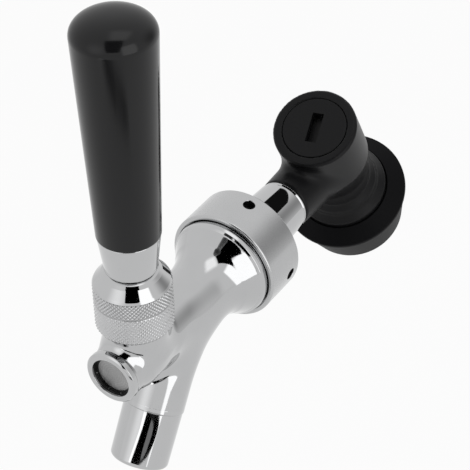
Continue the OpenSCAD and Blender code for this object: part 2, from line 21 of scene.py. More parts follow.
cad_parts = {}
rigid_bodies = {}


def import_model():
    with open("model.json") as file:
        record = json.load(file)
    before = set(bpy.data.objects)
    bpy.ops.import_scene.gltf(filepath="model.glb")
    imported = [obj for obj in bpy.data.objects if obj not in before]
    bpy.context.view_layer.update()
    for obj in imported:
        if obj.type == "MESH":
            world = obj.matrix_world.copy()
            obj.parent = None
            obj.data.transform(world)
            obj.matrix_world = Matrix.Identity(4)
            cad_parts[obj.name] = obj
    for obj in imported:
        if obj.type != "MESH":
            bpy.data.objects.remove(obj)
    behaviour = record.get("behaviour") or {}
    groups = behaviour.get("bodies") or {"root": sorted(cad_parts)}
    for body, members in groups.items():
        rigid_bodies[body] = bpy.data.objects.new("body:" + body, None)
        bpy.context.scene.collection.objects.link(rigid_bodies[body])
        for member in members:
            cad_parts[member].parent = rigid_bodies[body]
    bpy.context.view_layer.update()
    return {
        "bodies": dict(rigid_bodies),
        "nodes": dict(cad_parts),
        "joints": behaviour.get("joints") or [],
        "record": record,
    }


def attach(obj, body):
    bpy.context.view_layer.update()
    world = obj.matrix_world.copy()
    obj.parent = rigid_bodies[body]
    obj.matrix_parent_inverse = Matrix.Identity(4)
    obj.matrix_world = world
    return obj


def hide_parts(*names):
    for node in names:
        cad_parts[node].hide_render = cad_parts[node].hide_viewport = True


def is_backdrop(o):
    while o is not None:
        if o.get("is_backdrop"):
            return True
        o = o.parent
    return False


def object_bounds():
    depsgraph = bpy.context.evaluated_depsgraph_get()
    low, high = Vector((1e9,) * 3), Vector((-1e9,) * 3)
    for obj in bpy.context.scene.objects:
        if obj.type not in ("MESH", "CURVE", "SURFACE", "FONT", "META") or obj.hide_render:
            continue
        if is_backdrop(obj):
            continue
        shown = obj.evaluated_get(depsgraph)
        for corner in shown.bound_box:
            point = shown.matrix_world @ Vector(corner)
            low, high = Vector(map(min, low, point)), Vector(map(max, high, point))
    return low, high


LOG = logging.getLogger("beer_tap")
MM_PER_M = 1000.0
TO_METRES = Matrix.Scale(1 / MM_PER_M, 4)
Point = tuple[float, float]
Triple = tuple[float, float, float]


# Shader maths


class Signal:
    """A shader socket, or a number, that takes part in Python expressions."""

    def __init__(self, graph: "Graph", value: object) -> None:
        """Keeps the graph that new Math nodes go into, and the socket or number."""
        self.graph = graph
        self.value = value

    def _math(self, operation: str, *others: object) -> "Signal":
        """Adds one Math node of that operation on this value and the others."""
        inputs = dict(enumerate((self, *others)))
        return self.graph.add("ShaderNodeMath", {"operation": operation}, inputs)[0]

    def __add__(self, other: object) -> "Signal":
        """Sum."""
        return self._math("ADD", other)

    __radd__ = __add__

    def __mul__(self, other: object) -> "Signal":
        """Product."""
        return self._math("MULTIPLY", other)

    __rmul__ = __mul__

    def __sub__(self, other: object) -> "Signal":
        """Difference."""
        return self._math("SUBTRACT", other)

    def __rsub__(self, other: object) -> "Signal":
        """Difference with this value on the right."""
        return Signal(self.graph, other)._math("SUBTRACT", self)

    def __truediv__(self, other: object) -> "Signal":
        """Quotient."""
        return self._math("DIVIDE", other)

    def __rtruediv__(self, other: object) -> "Signal":
        """Quotient with this value below."""
        return Signal(self.graph, other)._math("DIVIDE", self)

    def sine(self) -> "Signal":
        """Sine of this value in radians."""
        return self._math("SINE")

    def size(self) -> "Signal":
        """This value without its sign."""
        return self._math("ABSOLUTE")

    def root(self) -> "Signal":
        """Square root."""
        return self._math("SQRT")

    def clamp(self) -> "Signal":
        """This value held between 0 and 1."""
        return self._math("MINIMUM", 1.0)._math("MAXIMUM", 0.0)

    def step(self, low: float, high: float) -> "Signal":
        """0 below low, 1 above high, and smooth between them."""
        t = ((self - low) / (high - low)).clamp()
        return t * t * (3.0 - 2.0 * t)


class Graph:
    """One node tree, and the single way that nodes are added to it."""

    def __init__(self, tree: bpy.types.NodeTree) -> None:
        """Empties the tree."""
        self.tree = tree
        tree.nodes.clear()

    def add(self, kind: str, settings: dict[str, object] | None = None,
            inputs: dict[int | str, object] | None = None) -> list[Signal]:
        """Adds a node.

        Args:
            kind: the node's type name.
            settings: attributes that are set first, such as a Math node's operation.
            inputs: the value or Signal of each input socket, by its index or name.

        Returns:
            The node's outputs.
        """
        node = self.tree.nodes.new(kind)
        for name, value in (settings or {}).items():
            setattr(node, name, value)
        for key, value in (inputs or {}).items():
            source = value.value if isinstance(value, Signal) else value
            if isinstance(source, bpy.types.NodeSocket):
                self.tree.links.new(source, node.inputs[key])
            else:
                node.inputs[key].default_value = source
        return [Signal(self, s) for s in node.outputs]

    def noise(self, spot: Signal, scale: float, detail: float = 2.0) -> Signal:
        """Noise from 0 to 1 with that many spots to a millimetre."""
        inputs = {"Vector": spot, "Scale": scale, "Detail": detail}
        return self.add("ShaderNodeTexNoise", None, inputs)[0]

    def object_spot(self) -> Signal:
        """The shaded point in its object's frame, in metres, which for a piece is the row frame."""
        return self.add("ShaderNodeTexCoord")[3]

    def place(self, point: Vector) -> tuple[Signal, Signal, Signal]:
        """Coordinates of the shaded point in millimetres.

        Args:
            point: origin of the coordinates in the row frame, in metres.

        Returns:
            The x, y and z of the shaded point from that origin.
        """
        ends = {0: self.object_spot(), 1: tuple(point)}
        moved = self.add("ShaderNodeVectorMath", {"operation": "SUBTRACT"}, ends)[0]
        scaled = self.add("ShaderNodeMapping", None, {0: moved, 3: (MM_PER_M,) * 3})[0]
        split = self.add("ShaderNodeSeparateXYZ", None, {0: scaled})
        return split[0], split[1], split[2]


# Frames


@dataclass(frozen=True)
class Layout:
    """Where the tap's and the coupler's axes lie in the row frame."""

    coupler_tilt: float = 29.5
    coupler_turn: float = 2.6
    coupler_y: float = 114.8
    arm_h: float = 38.0
    mouth_len: float = 9.0
    spout_tilt: float = 31.0
    spout_root_y: float = 22.7

    def coupler(self) -> Matrix:
        """Frame of the coupler.

        Returns:
            Its Z lies along the coupler's axis, from the mouth upwards.
        """
        turn = Matrix.Rotation(math.radians(self.coupler_turn), 4, "Y")
        lean = Matrix.Rotation(math.radians(self.coupler_tilt), 4, "X")
        return turn @ lean @ Matrix.Translation((0, 0, -self.mouth_len))

    def tap(self) -> Matrix:
        """Frame of the tap: origin where the handle's axis meets the shaft's."""
        crossing = self.coupler() @ Vector((0, 0, self.arm_h))
        return Matrix.Translation(crossing - Vector((0, self.coupler_y, 0)))

    def crossing(self) -> Vector:
        """Where the handle's axis meets the shaft's, in metres."""
        return (TO_METRES @ self.tap()).to_translation()

    def shaft(self) -> Matrix:
        """Frame of the shaft: Z along it, towards the coupler."""
        return self.tap() @ Matrix.Rotation(-math.pi / 2, 4, "X")

    def spout(self) -> Matrix:
        """Frame of the spout: Z along it, towards its tip."""
        lean = Matrix.Rotation(math.radians(180 - self.spout_tilt), 4, "X")
        return self.tap() @ Matrix.Translation((0, self.spout_root_y, 0)) @ lean

    def arm(self) -> Matrix:
        """Frame of the coupler's side arm: Z from the crossing towards the adapter."""
        lean = Matrix.Rotation(math.radians(90 - self.coupler_tilt), 4, "X")
        return self.coupler() @ Matrix.Translation((0, 0, self.arm_h)) @ lean


LAYOUT = Layout()


# Finishes


class Coat(Enum):
    """Kinds of surface that the tap shows."""

    CHROME = "chrome_plate"
    STEEL = "stainless_steel"
    GRIP = "grip_plastic"
    MOULDED = "coupler_plastic"
    NYLON = "nylon"
    RUBBER = "rubber"


@dataclass(frozen=True)
class Finish:
    """A surface finish: a base colour with fine variation, grain and waviness.

    The noises are laid out in the row frame, so neighbouring pieces match. Grain and
    wave are heights, and their sizes are those of one spot, all in millimetres.
    """

    name: str
    coat: Coat
    colour: Triple
    roughness: float
    metallic: float = 0.0
    specular: float = 0.5
    mottle: float = 0.04
    mottle_scale: float = 0.18
    rough_mottle: float = 0.03
    grain: float = 0.0
    grain_size: float = 0.3
    wave: float = 0.0
    wave_size: float = 9.0

    def material(self) -> bpy.types.Material:
        """Makes the material once.

        Returns:
            The material, the same one each time.
        """
        made = bpy.data.materials.get(self.name)
        if made:
            return made
        made = bpy.data.materials.new(self.name)
        made.use_nodes = True
        graph = Graph(made.node_tree)
        spot = graph.add("ShaderNodeCombineXYZ", None, dict(enumerate(graph.place(Vector()))))[0]
        cloud = graph.noise(spot, self.mottle_scale, detail=3.0)
        fine = graph.noise(spot, 1.0 / self.grain_size)
        tone = self._tone(graph, 1.0 + self.mottle * (cloud - 0.5) * 2.0)
        shade = graph.add("ShaderNodeMix", {"data_type": "RGBA", "blend_type": "MULTIPLY"},
                          {0: 1.0, 6: (*self.colour, 1.0), 7: tone})[2]
        normal = graph.add("ShaderNodeBump", None, {
            "Strength": 1.0, "Distance": 1 / MM_PER_M, "Height": self._height(graph, spot, fine)})[0]
        shader = graph.add("ShaderNodeBsdfPrincipled", None, {
            "Base Color": shade, "Roughness": self.roughness + self.rough_mottle * (fine - 0.5) * 2.0,
            "Metallic": self.metallic, "Specular IOR Level": self.specular, "Normal": normal})[0]
        graph.add("ShaderNodeOutputMaterial", None, {0: shader})
        return made

    def _tone(self, graph: Graph, tone: Signal) -> Signal:
        """The colour's variation, which a finish with dark hollows adds to."""
        return tone

    def _height(self, graph: Graph, spot: Signal, fine: Signal) -> Signal:
        """Height of grain and waviness.

        Args:
            graph: the material's node tree.
            spot: the shaded point in millimetres.
            fine: noise from 0 to 1 with the size of the grain.

        Returns:
            The height in millimetres.
        """
        height = fine * self.grain
        if self.wave:
            height = height + graph.noise(spot, 1.0 / self.wave_size, detail=1.0) * self.wave
        return height


@dataclass(frozen=True)
class KnurlFinish(Finish):
    """A plated knurl whose grooves are darkened with painted shade."""

    radius: float = 12.0
    depth: float = 0.42
    shade_from: float = 0.35
    painted_groove_shade: float = 0.35

    def _tone(self, graph: Graph, tone: Signal) -> Signal:
        """Paints shade that darkens with the depth under the points of the knurl.

        Args:
            graph: the material's node tree.
            tone: the colour's fine variation.

        Returns:
            The variation, darkened with painted shade down to the groove's share of it at full depth.
        """
        x, y, _ = graph.place(LAYOUT.crossing())
        depth = self.radius - (x * x + y * y).root()
        # painted shade: the colour darkens in the knurl's grooves, where shade falls between the points
        return tone * (1.0 - (1.0 - self.painted_groove_shade) * depth.step(self.depth * self.shade_from, self.depth))


@dataclass(frozen=True)
class TurnedFinish(Finish):
    """A finish with the fine rings that a lathe tool leaves round the shaft's axis, and painted shade round
    the face's rim.
    """

    pitch: float = 0.5
    depth: float = 0.006
    band: float = 0.8
    band_tone: float = 0.07
    band_drift: float = 3.0
    drift_scale: float = 0.35
    rim_r: float = 5.75
    rim_half: float = 0.12
    painted_rim_shade: float = 0.85

    def _tone(self, graph: Graph, tone: Signal) -> Signal:
        """Draws faint bands, and paints shade on the bevel round the face, where the gap to the bore lies in
        shadow.

        Args:
            graph: the material's node tree.
            tone: the colour's fine variation.

        Returns:
            The variation with the bands and the painted shade at the rim.
        """
        x, _, z = graph.place(LAYOUT.crossing())
        r = (x * x + z * z).root()
        face = graph.add("ShaderNodeCombineXYZ", None, {0: x, 2: z})[0]
        drift = graph.noise(face, self.drift_scale) * self.band_drift
        bands = 1.0 + self.band_tone * (r * (2.0 * math.pi / self.band) + drift).sine()
        # painted shade: the rim of the face is darkened where the gap to the bore lies in shadow
        rim = r.step(self.rim_r - self.rim_half, self.rim_r + self.rim_half)
        return tone * bands * (1.0 - self.painted_rim_shade * rim)

    def _height(self, graph: Graph, spot: Signal, fine: Signal) -> Signal:
        """Rings round the shaft's axis, which lies along Y, over the grain.

        Args:
            graph: the material's node tree.
            spot: the shaded point in millimetres, which the rings don't need.
            fine: noise from 0 to 1 with the size of the grain.

        Returns:
            The height in millimetres.
        """
        x, _, z = graph.place(LAYOUT.crossing())
        rings = ((x * x + z * z).root() * (2.0 * math.pi / self.pitch)).sine()
        return fine * self.grain + rings * self.depth


POLISHED = Finish("polished_chrome", Coat.CHROME, (0.475, 0.478, 0.482), roughness=0.045, metallic=1.0,
                  mottle=0.02, rough_mottle=0.015, grain=0.0004, grain_size=0.8)
CAST_CHROME = Finish("cast_chrome", Coat.CHROME, (0.465, 0.468, 0.472), roughness=0.055, metallic=1.0,
                     mottle=0.03, grain=0.0005, grain_size=0.7, wave=0.02)
SATIN = Finish("satin_chrome", Coat.CHROME, (0.465, 0.468, 0.472), roughness=0.2, metallic=1.0,
               mottle=0.03, rough_mottle=0.04, grain=0.0005, grain_size=0.7)
KNURLED = KnurlFinish("knurled_chrome", Coat.CHROME, (0.5, 0.503, 0.508), roughness=0.14, metallic=1.0,
                      mottle=0.03, rough_mottle=0.04)
# painted shade: a near-black metal for the bore wall and the spanner holes, where shade falls in the recesses
RECESS_SHADE = Finish("painted_recess_shade", Coat.STEEL, (0.07, 0.07, 0.07), roughness=0.4, metallic=1.0,
              mottle=0.1, rough_mottle=0.08, grain=0.01)
STEEL = Finish("stainless_steel", Coat.STEEL, (0.45, 0.45, 0.45), roughness=0.3, metallic=1.0,
               rough_mottle=0.06, grain=0.002)
TURNED = TurnedFinish("turned_shaft", Coat.STEEL, (0.32, 0.32, 0.32), roughness=0.42, metallic=1.0,
                      mottle=0.25, rough_mottle=0.1, grain=0.012, grain_size=0.5)
GLOSS_GRIP = Finish("gloss_black_plastic", Coat.GRIP, (0.006, 0.006, 0.0065), roughness=0.15,
                    specular=0.27, grain=0.0006, grain_size=0.5)
MOULDED = Finish("satin_black_plastic", Coat.MOULDED, (0.0055, 0.0055, 0.006), roughness=0.36,
                 specular=0.13, rough_mottle=0.05, grain=0.006, grain_size=0.22, wave=0.01)
SLEEVE = Finish("sleeve_black_plastic", Coat.MOULDED, (0.0045, 0.0045, 0.005), roughness=0.48,
                specular=0.05, rough_mottle=0.05, grain=0.008, grain_size=0.25, wave=0.012)
NYLON = Finish("natural_nylon", Coat.NYLON, (0.78, 0.76, 0.69), roughness=0.45, grain=0.003)
RUBBER = Finish("black_rubber", Coat.RUBBER, (0.015, 0.015, 0.015), roughness=0.65,
                specular=0.3, grain=0.01)


# Meshes


FINE = 192
PLAIN = 160
ON_AXIS = 1e-6
FILLET_SHARE = 0.49


def new_piece(name: str, vertices: np.ndarray, faces: Sequence[Sequence[int]],
              frame: Matrix) -> bpy.types.Object:
    """Makes a mesh object from points in millimetres in a frame.

    Args:
        name: the piece's name.
        vertices: points in the frame.
        faces: point numbers of each face.
        frame: the frame, in the row frame, in millimetres.

    Returns:
        The object, in metres, with its place in its mesh.
    """
    mesh = bpy.data.meshes.new(name)
    mesh.from_pydata([tuple(v) for v in vertices], [], [tuple(f) for f in faces])
    mesh.transform(TO_METRES @ frame)
    mesh.update()
    made = bpy.data.objects.new(name, mesh)
    bpy.context.scene.collection.objects.link(made)
    return made


def smooth(piece: bpy.types.Object, angle: float = 32.0) -> bpy.types.Object:
    """Shades a piece smoothly, but for its creases.

    Args:
        piece: the piece.
        angle: the least angle of a crease, in degrees.

    Returns:
        The same piece.
    """
    piece.data.shade_smooth()
    piece.data.set_sharp_from_angle(angle=math.radians(angle))
    return piece


def rounded(corners: Sequence[Triple], steps: int = 5, closed: bool = False) -> list[Point]:
    """Rounds the corners of a profile and adds support points beside them.

    Args:
        corners: radius, height and fillet radius of each corner.
        steps: points on each fillet.
        closed: whether the last corner joins the first.

    Returns:
        The points of the rounded profile.
    """
    count = len(corners)
    points: list[Point] = []
    for i, (r, z, fillet) in enumerate(corners):
        here = Vector((r, z))
        ends = not closed and i in (0, count - 1)
        if ends or fillet <= 0:
            points.append((r, z))
            continue
        before, after = Vector(corners[i - 1][:2]), Vector(corners[(i + 1) % count][:2])
        a, b = (before - here), (after - here)
        half = a.angle(b) / 2
        reach = min(fillet / math.tan(half), FILLET_SHARE * a.length, FILLET_SHARE * b.length)
        radius = reach * math.tan(half)
        a.normalize()
        b.normalize()
        centre = here + (a + b).normalized() * (radius / math.sin(half))
        start, end = here + a * reach - centre, here + b * reach - centre
        sweep = start.angle_signed(end)
        for k in range(steps + 1):
            turn = Matrix.Rotation(-sweep * k / steps, 2)
            points.append(tuple(centre + turn @ start))
    return supported(points, closed)


def supported(points: Sequence[Point], closed: bool = False, inset: float = 0.12) -> list[Point]:
    """Adds a point close to each end of every long stretch, so that shading stays flat there.

    Args:
        points: the profile.
        closed: whether its last point joins its first.
        inset: how far the added points lie from the ends.

    Returns:
        The profile with the added points.
    """
    made: list[Point] = []
    count = len(points)
    for i, point in enumerate(points):
        made.append(point)
        if not closed and i == count - 1:
            break
        a, b = Vector(point), Vector(points[(i + 1) % count])
        length = (b - a).length
        if length > 6 * inset:
            made += [tuple(a.lerp(b, inset / length)), tuple(a.lerp(b, 1 - inset / length))]
    return made


def lathe(name: str, profile: Sequence[Point], frame: Matrix, segments: int = FINE,
          closed: bool = False) -> bpy.types.Object:
    """Turns a profile of radius and height about the frame's Z axis.

    Args:
        name: the piece's name.
        profile: points of radius and height, anticlockwise in radius and height.
        frame: the axis's frame.
        segments: steps round the axis.
        closed: whether the profile's last point joins its first, as in a ring.

    Returns:
        The smooth piece.
    """
    rings, vertices, faces = [], [], []
    angles = [2 * math.pi * k / segments for k in range(segments)]
    for r, z in profile:
        if r < ON_AXIS:
            rings.append([len(vertices)] * segments)
            vertices.append((0.0, 0.0, z))
        else:
            rings.append(list(range(len(vertices), len(vertices) + segments)))
            vertices += [(r * math.cos(a), r * math.sin(a), z) for a in angles]
    pairs = list(zip(rings, rings[1:])) + ([(rings[-1], rings[0])] if closed else [])
    for low, high in pairs:
        for k in range(segments):
            n = (k + 1) % segments
            corners = list(dict.fromkeys((low[k], low[n], high[n], high[k])))
            if len(corners) > 2:
                faces.append(corners)
    return smooth(new_piece(name, np.array(vertices), faces, frame))


def cut(piece: bpy.types.Object, tool: bpy.types.Object) -> None:
    """Takes a volume away from a piece.

    Args:
        piece: the piece, which is changed.
        tool: the volume, which is removed afterwards.
    """
    modifier = piece.modifiers.new("cut", "BOOLEAN")
    modifier.operation = "DIFFERENCE"
    modifier.solver = "EXACT"
    modifier.object = tool
    graph = bpy.context.evaluated_depsgraph_get()
    mesh = bpy.data.meshes.new_from_object(piece.evaluated_get(graph))
    piece.modifiers.clear()
    old, piece.data = piece.data, mesh
    bpy.data.meshes.remove(old)
    bpy.data.objects.remove(tool)


# Blended castings


Field = Callable[[np.ndarray], np.ndarray]
BATCH = 400000
SHARPENING = 4


def polygon_field(corners: Sequence[Point]) -> Callable[[np.ndarray, np.ndarray], np.ndarray]:
    """Signed distance to a closed polygon, negative inside.

    Args:
        corners: radius and height of each corner.

    Returns:
        A function of radii and heights.
    """
    ring = np.array(corners, float)

    def distance(r: np.ndarray, z: np.ndarray) -> np.ndarray:
        """Distance of points.

        Args:
            r: radius of each point.
            z: height of each point.

        Returns:
            The distances in millimetres.
        """
        best = np.full(r.shape, 1e9)
        inside = np.zeros(r.shape, bool)
        for (ax, az), (bx, bz) in zip(ring, np.roll(ring, -1, 0)):
            ex, ez = bx - ax, bz - az
            t = np.clip(((r - ax) * ex + (z - az) * ez) / (ex * ex + ez * ez), 0, 1)
            best = np.minimum(best, (r - ax - t * ex) ** 2 + (z - az - t * ez) ** 2)
            if ez:
                inside ^= ((az > z) != (bz > z)) & (r < ex * (z - az) / ez + ax)
        return np.where(inside, -1, 1) * np.sqrt(best)

    return distance


def turned(corners: Sequence[Point], frame: Matrix) -> Field:
    """Signed distance to a solid turned about a frame's Z axis.

    Args:
        corners: radius and height of each corner of its section.
        frame: the axis's frame.

    Returns:
        The distance as a function of points in the row frame, in millimetres.
    """
    inverse = np.array(frame.inverted())
    section = polygon_field(corners)

    def distance(p: np.ndarray) -> np.ndarray:
        """Distance of points in millimetres."""
        q = p @ inverse[:3, :3].T + inverse[:3, 3]
        return section(np.hypot(q[:, 0], q[:, 1]), q[:, 2])

    return distance


def tube(radius: float, low: float, high: float) -> list[Point]:
    """Section of a plain round bore or post from one height to another."""
    return [(0, low), (radius, low), (radius, high), (0, high)]


def blend(a: np.ndarray, b: np.ndarray, width: float) -> np.ndarray:
    """Union of two distances with a soft fillet of about that width."""
    h = np.clip(0.5 + 0.5 * (b - a) / width, 0, 1)
    return b * (1 - h) + a * h - width * h * (1 - h)


def drilled(solid: np.ndarray, p: np.ndarray, bores: Sequence[Field]) -> np.ndarray:
    """Takes bores out of a solid.

    Args:
        solid: distance of each point to the solid.
        p: the points, in the row frame, in millimetres.
        bores: the bores' distances.

    Returns:
        The distance to what is left.
    """
    for bore in bores:
        solid = np.maximum(solid, -bore(p))
    return solid


def slope(distance: Field, points: np.ndarray, reach: float = 0.05) -> np.ndarray:
    """Unit direction in which a distance grows at each point."""
    grown = np.stack([distance(points + step) - distance(points - step) for step in np.eye(3) * reach], 1)
    return grown / np.maximum(np.linalg.norm(grown, axis=1, keepdims=True), 1e-9)


def cell_middles(values: np.ndarray) -> tuple[np.ndarray, np.ndarray]:
    """Finds the cells of a grid that the skin passes through, and its mean place in each.

    Args:
        values: signed distance at every grid point.

    Returns:
        Whether each cell is one of them, and the mean of the crossings on its edges, as
        shares of the cell.
    """
    inside = values < 0
    cells = [n - 1 for n in values.shape]
    total, weight = np.zeros((*cells, 3)), np.zeros(cells)

    def seen(array: np.ndarray, offset: Iterable[int]) -> np.ndarray:
        """The array's values at one corner of every cell."""
        return array[tuple(slice(o, n + o) for o, n in zip(offset, cells))]

    for a in [(i, j, k) for i in (0, 1) for j in (0, 1) for k in (0, 1)]:
        for axis in [i for i in range(3) if not a[i]]:
            b = tuple(v + (i == axis) for i, v in enumerate(a))
            va, vb = seen(values, a), seen(values, b)
            crossing = seen(inside, a) != seen(inside, b)
            t = np.where(crossing, va / np.where(crossing, va - vb, 1), 0)
            for i in range(3):
                total[..., i] += np.where(crossing, a[i] + (t if i == axis else 0), 0)
            weight += crossing
    return weight > 0, total / np.maximum(weight, 1)[..., None]


def cell_faces(inside: np.ndarray, number: np.ndarray) -> np.ndarray:
    """Joins the points of the four cells round each grid edge that the skin crosses.

    Args:
        inside: whether each grid point is inside.
        number: point number of each cell.

    Returns:
        The four point numbers of each face, anticlockwise from outside.
    """
    faces = []
    for axis in range(3):
        u, v = (axis + 1) % 3, (axis + 2) % 3
        first = inside[tuple(slice(0, -1) if i == axis else slice(1, -1) for i in range(3))]
        second = inside[tuple(slice(1, None) if i == axis else slice(1, -1) for i in range(3))]
        for edges, order in ((first & ~second, 1), (~first & second, -1)):
            at = np.argwhere(edges) + [0 if i == axis else 1 for i in range(3)]
            ring = []
            for du, dv in ((0, 0), (-1, 0), (-1, -1), (0, -1))[::order]:
                q = at.copy()
                q[:, u] += du
                q[:, v] += dv
                ring.append(number[tuple(q.T)])
            faces.append(np.stack(ring, 1))
    return np.concatenate(faces)


def skin_of(name: str, distance: Field, low: Vector, high: Vector, cell: float) -> bpy.types.Object:
    """Makes a smooth closed mesh where a signed distance is zero.

    Args:
        name: the piece's name.
        distance: the signed distance in the row frame, in millimetres.
        low: lowest corner of the space that holds the solid.
        high: its highest corner.
        cell: size of a grid cell.

    Returns:
        The piece.
    """
    axes = [np.arange(a, b + cell, cell) for a, b in zip(low, high)]
    grid = np.stack(np.meshgrid(*axes, indexing="ij"), -1).reshape(-1, 3)
    batches = np.array_split(grid, max(1, len(grid) // BATCH))
    values = np.concatenate([distance(batch) for batch in batches]).reshape([len(a) for a in axes])
    used, middles = cell_middles(values)
    number = np.full(used.shape, -1)
    number[used] = np.arange(used.sum())
    points = (np.argwhere(used) + middles[used]) * cell + np.array(low)
    for _ in range(SHARPENING):
        points -= distance(points)[:, None] * slope(distance, points)
    made = new_piece(name, points, cell_faces(values < 0, number).tolist(), Matrix.Identity(4))
    made.data.shade_smooth()
    return made


# The pieces


@dataclass
class SubAssembly:
    """A group of the tap's pieces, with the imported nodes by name."""

    nodes: dict[str, bpy.types.Object]

    @staticmethod
    def wear(piece: bpy.types.Object, finish: Finish) -> None:
        """Gives a piece its finish."""
        piece.data.materials.clear()
        piece.data.materials.append(finish.material())

    def stand_for(self, piece: bpy.types.Object, body: str, finish: Finish, *nodes: str) -> None:
        """Dresses a made piece and lets it ride on a body.

        Args:
            piece: the piece.
            body: the body that it moves with.
            finish: its finish.
            nodes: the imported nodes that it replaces, or none for an added trim.
        """
        self.wear(piece, finish)
        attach(piece, body)
        if nodes:
            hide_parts(*nodes)
        LOG.info("%s: %d faces in %s", piece.name, len(piece.data.polygons), finish.name)

    def keep(self, finish: Finish, *names: str) -> None:
        """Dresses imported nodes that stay.

        Args:
            finish: their finish.
            names: the nodes.
        """
        for name in names:
            self.wear(self.nodes[name], finish)
            LOG.info("%s: as packed, in %s", name, finish.name)


@dataclass
class Handle(SubAssembly):
    """The black grip on its chromed ferrule, and the lever inside."""

    grip_z: float = 46.4
    grip_len: float = 67.2
    base_r: float = 9.65
    top_r: float = 12.25
    dome: float = 6.6
    dome_bend: float = 0.9
    dome_step: float = 3.0
    ferrule_z: float = 33.7
    ferrule_r: float = 8.05
    grip_step: float = 0.15
    dish_r: float = 7.0
    dish_h: float = 1.2
    stem_r: float = 4.8

    def build(self) -> None:
        """Makes the grip and the ferrule."""
        self.stand_for(self.grip(), "handle", GLOSS_GRIP, "grip")
        self.stand_for(self.ferrule(), "handle", POLISHED, "grip_ferrule")
        self.keep(POLISHED, "lever")

    def grip(self) -> bpy.types.Object:
        """The tapered grip with its rounded top.

        Returns:
            The piece.
        """
        top = self.grip_z + self.grip_len
        side = rounded([(0, self.grip_z, 0), (self.base_r, self.grip_z, 0.35), (self.top_r, top, 0)])
        dome = [(self.top_r * math.cos(a) ** self.dome_bend, top + self.dome * math.sin(a) ** self.dome_bend)
                for a in np.radians(np.arange(self.dome_step, 90, self.dome_step))]
        return lathe("grip_shell", side + dome + [(0, top + self.dome)], LAYOUT.tap())

    def ferrule(self) -> bpy.types.Object:
        """The tapered ferrule under the grip, dished where the stem leaves it.

        Returns:
            The piece.
        """
        z, dish = self.ferrule_z, self.ferrule_z + self.dish_h
        corners = [(self.stem_r, dish, 0), (self.dish_r, dish, 0), (self.dish_r, z, 0.15),
                   (self.ferrule_r, z, 0.6), (self.ferrule_r + 0.03, z + 1.2, 0.5),
                   (self.base_r - self.grip_step, self.grip_z - 0.02, 0.25), (self.stem_r, self.grip_z, 0)]
        return lathe("ferrule_shell", rounded(corners), LAYOUT.tap())


@dataclass
class Bonnet(SubAssembly):
    """The knurled ring nut that holds the handle's ball."""

    base_z: float = 13.0
    band_h: float = 15.4
    shoulder_h: float = 3.5
    radius: float = 12.0
    core_r: float = 11.45
    inner_r: float = 10.3
    lip_r: float = 9.2
    crown_r: float = 7.4
    crown_h: float = 1.25
    top_hole_r: float = 6.5
    low_hole_r: float = 4.5
    washer_top: float = 24.4
    diamonds: int = 58
    diamond_steps: int = 8
    stretch: float = 1.05
    point: float = 0.25
    depth: float = 0.36
    low_depth: float = 0.24
    groove_at: float = 0.62
    groove_depth: float = 0.3
    groove_half: float = 0.06
    groove_slope: float = 0.5
    end_len: float = 0.55
    end_slope: float = 0.7

    def build(self) -> None:
        """Makes the smooth shoulder, which stands for the nut, and the knurled band."""
        self.stand_for(self.shoulder(), "tap", POLISHED, "bonnet_nut")
        self.stand_for(self.band(), "tap", KNURLED)
        self.keep(NYLON, "friction_washer", "pivot_seat")

    def shoulder(self) -> bpy.types.Object:
        """The bevel and lip over the knurl, the hole for the lever, and the inside.

        Returns:
            The piece.
        """
        base, top, lip = self.base_z, self.base_z + self.band_h, self.base_z + self.band_h + self.shoulder_h
        corners = [(self.inner_r, base, 0), (self.core_r - 0.2, base, 0.3), (self.core_r, base + 0.7, 0),
                   (self.core_r, top - 0.1, 0), (self.radius - 0.02, top, 0.15),
                   (self.radius - 0.5, top + 0.9, 0.8), (self.lip_r, lip, 0.12),
                   (self.lip_r - 1.0, lip + 0.8, 0.5), (self.crown_r, lip + self.crown_h, 0.2),
                   (self.crown_r - 0.4, lip + self.crown_h - 0.1, 0.1), (self.top_hole_r, lip, 0),
                   (self.low_hole_r, self.washer_top, 0), (self.inner_r, self.washer_top, 0)]
        return lathe("bonnet_shoulder", rounded(corners, closed=True), LAYOUT.tap(), closed=True)

    def band(self) -> bpy.types.Object:
        """The band with its diamond knurl, as a grid with pyramids pressed into it.

        Returns:
            The piece.
        """
        around, per = self.diamonds * self.diamond_steps, 2 * math.pi * self.radius / self.diamonds
        rows = int(self.band_h / per * self.diamond_steps)
        angle, level = np.meshgrid(np.arange(around) * 2 * math.pi / around,
                                   np.linspace(0, self.band_h, rows + 1))
        a, b = angle * self.diamonds / (2 * math.pi), level / (per * self.stretch)
        ridge = np.maximum(np.abs((a + b) % 1 - 0.5), np.abs((a - b) % 1 - 0.5)) * 2
        mid = self.band_h * self.groove_at
        depth = np.where(level > mid, self.depth, self.low_depth)
        height = -depth * np.clip((ridge - self.point) / (1 - self.point), 0, 1)
        wall = self.groove_slope * np.clip(np.abs(level - mid) - self.groove_half, 0, 1)
        height = np.minimum(height, wall - self.groove_depth)
        ends = np.minimum(level, self.band_h - level)
        height -= self.end_slope * np.clip(self.end_len - ends, 0, 1)
        r = self.radius + height
        points = np.stack([r * np.cos(angle), r * np.sin(angle), self.base_z + level], -1).reshape(-1, 3)
        faces = []
        for low in range(0, rows * around, around):
            for i in range(around):
                n = (i + 1) % around
                faces.append((low + i, low + n, low + around + n, low + around + i))
        piece = new_piece("bonnet_knurl", points, faces, LAYOUT.tap())
        piece.data.shade_smooth()
        return piece


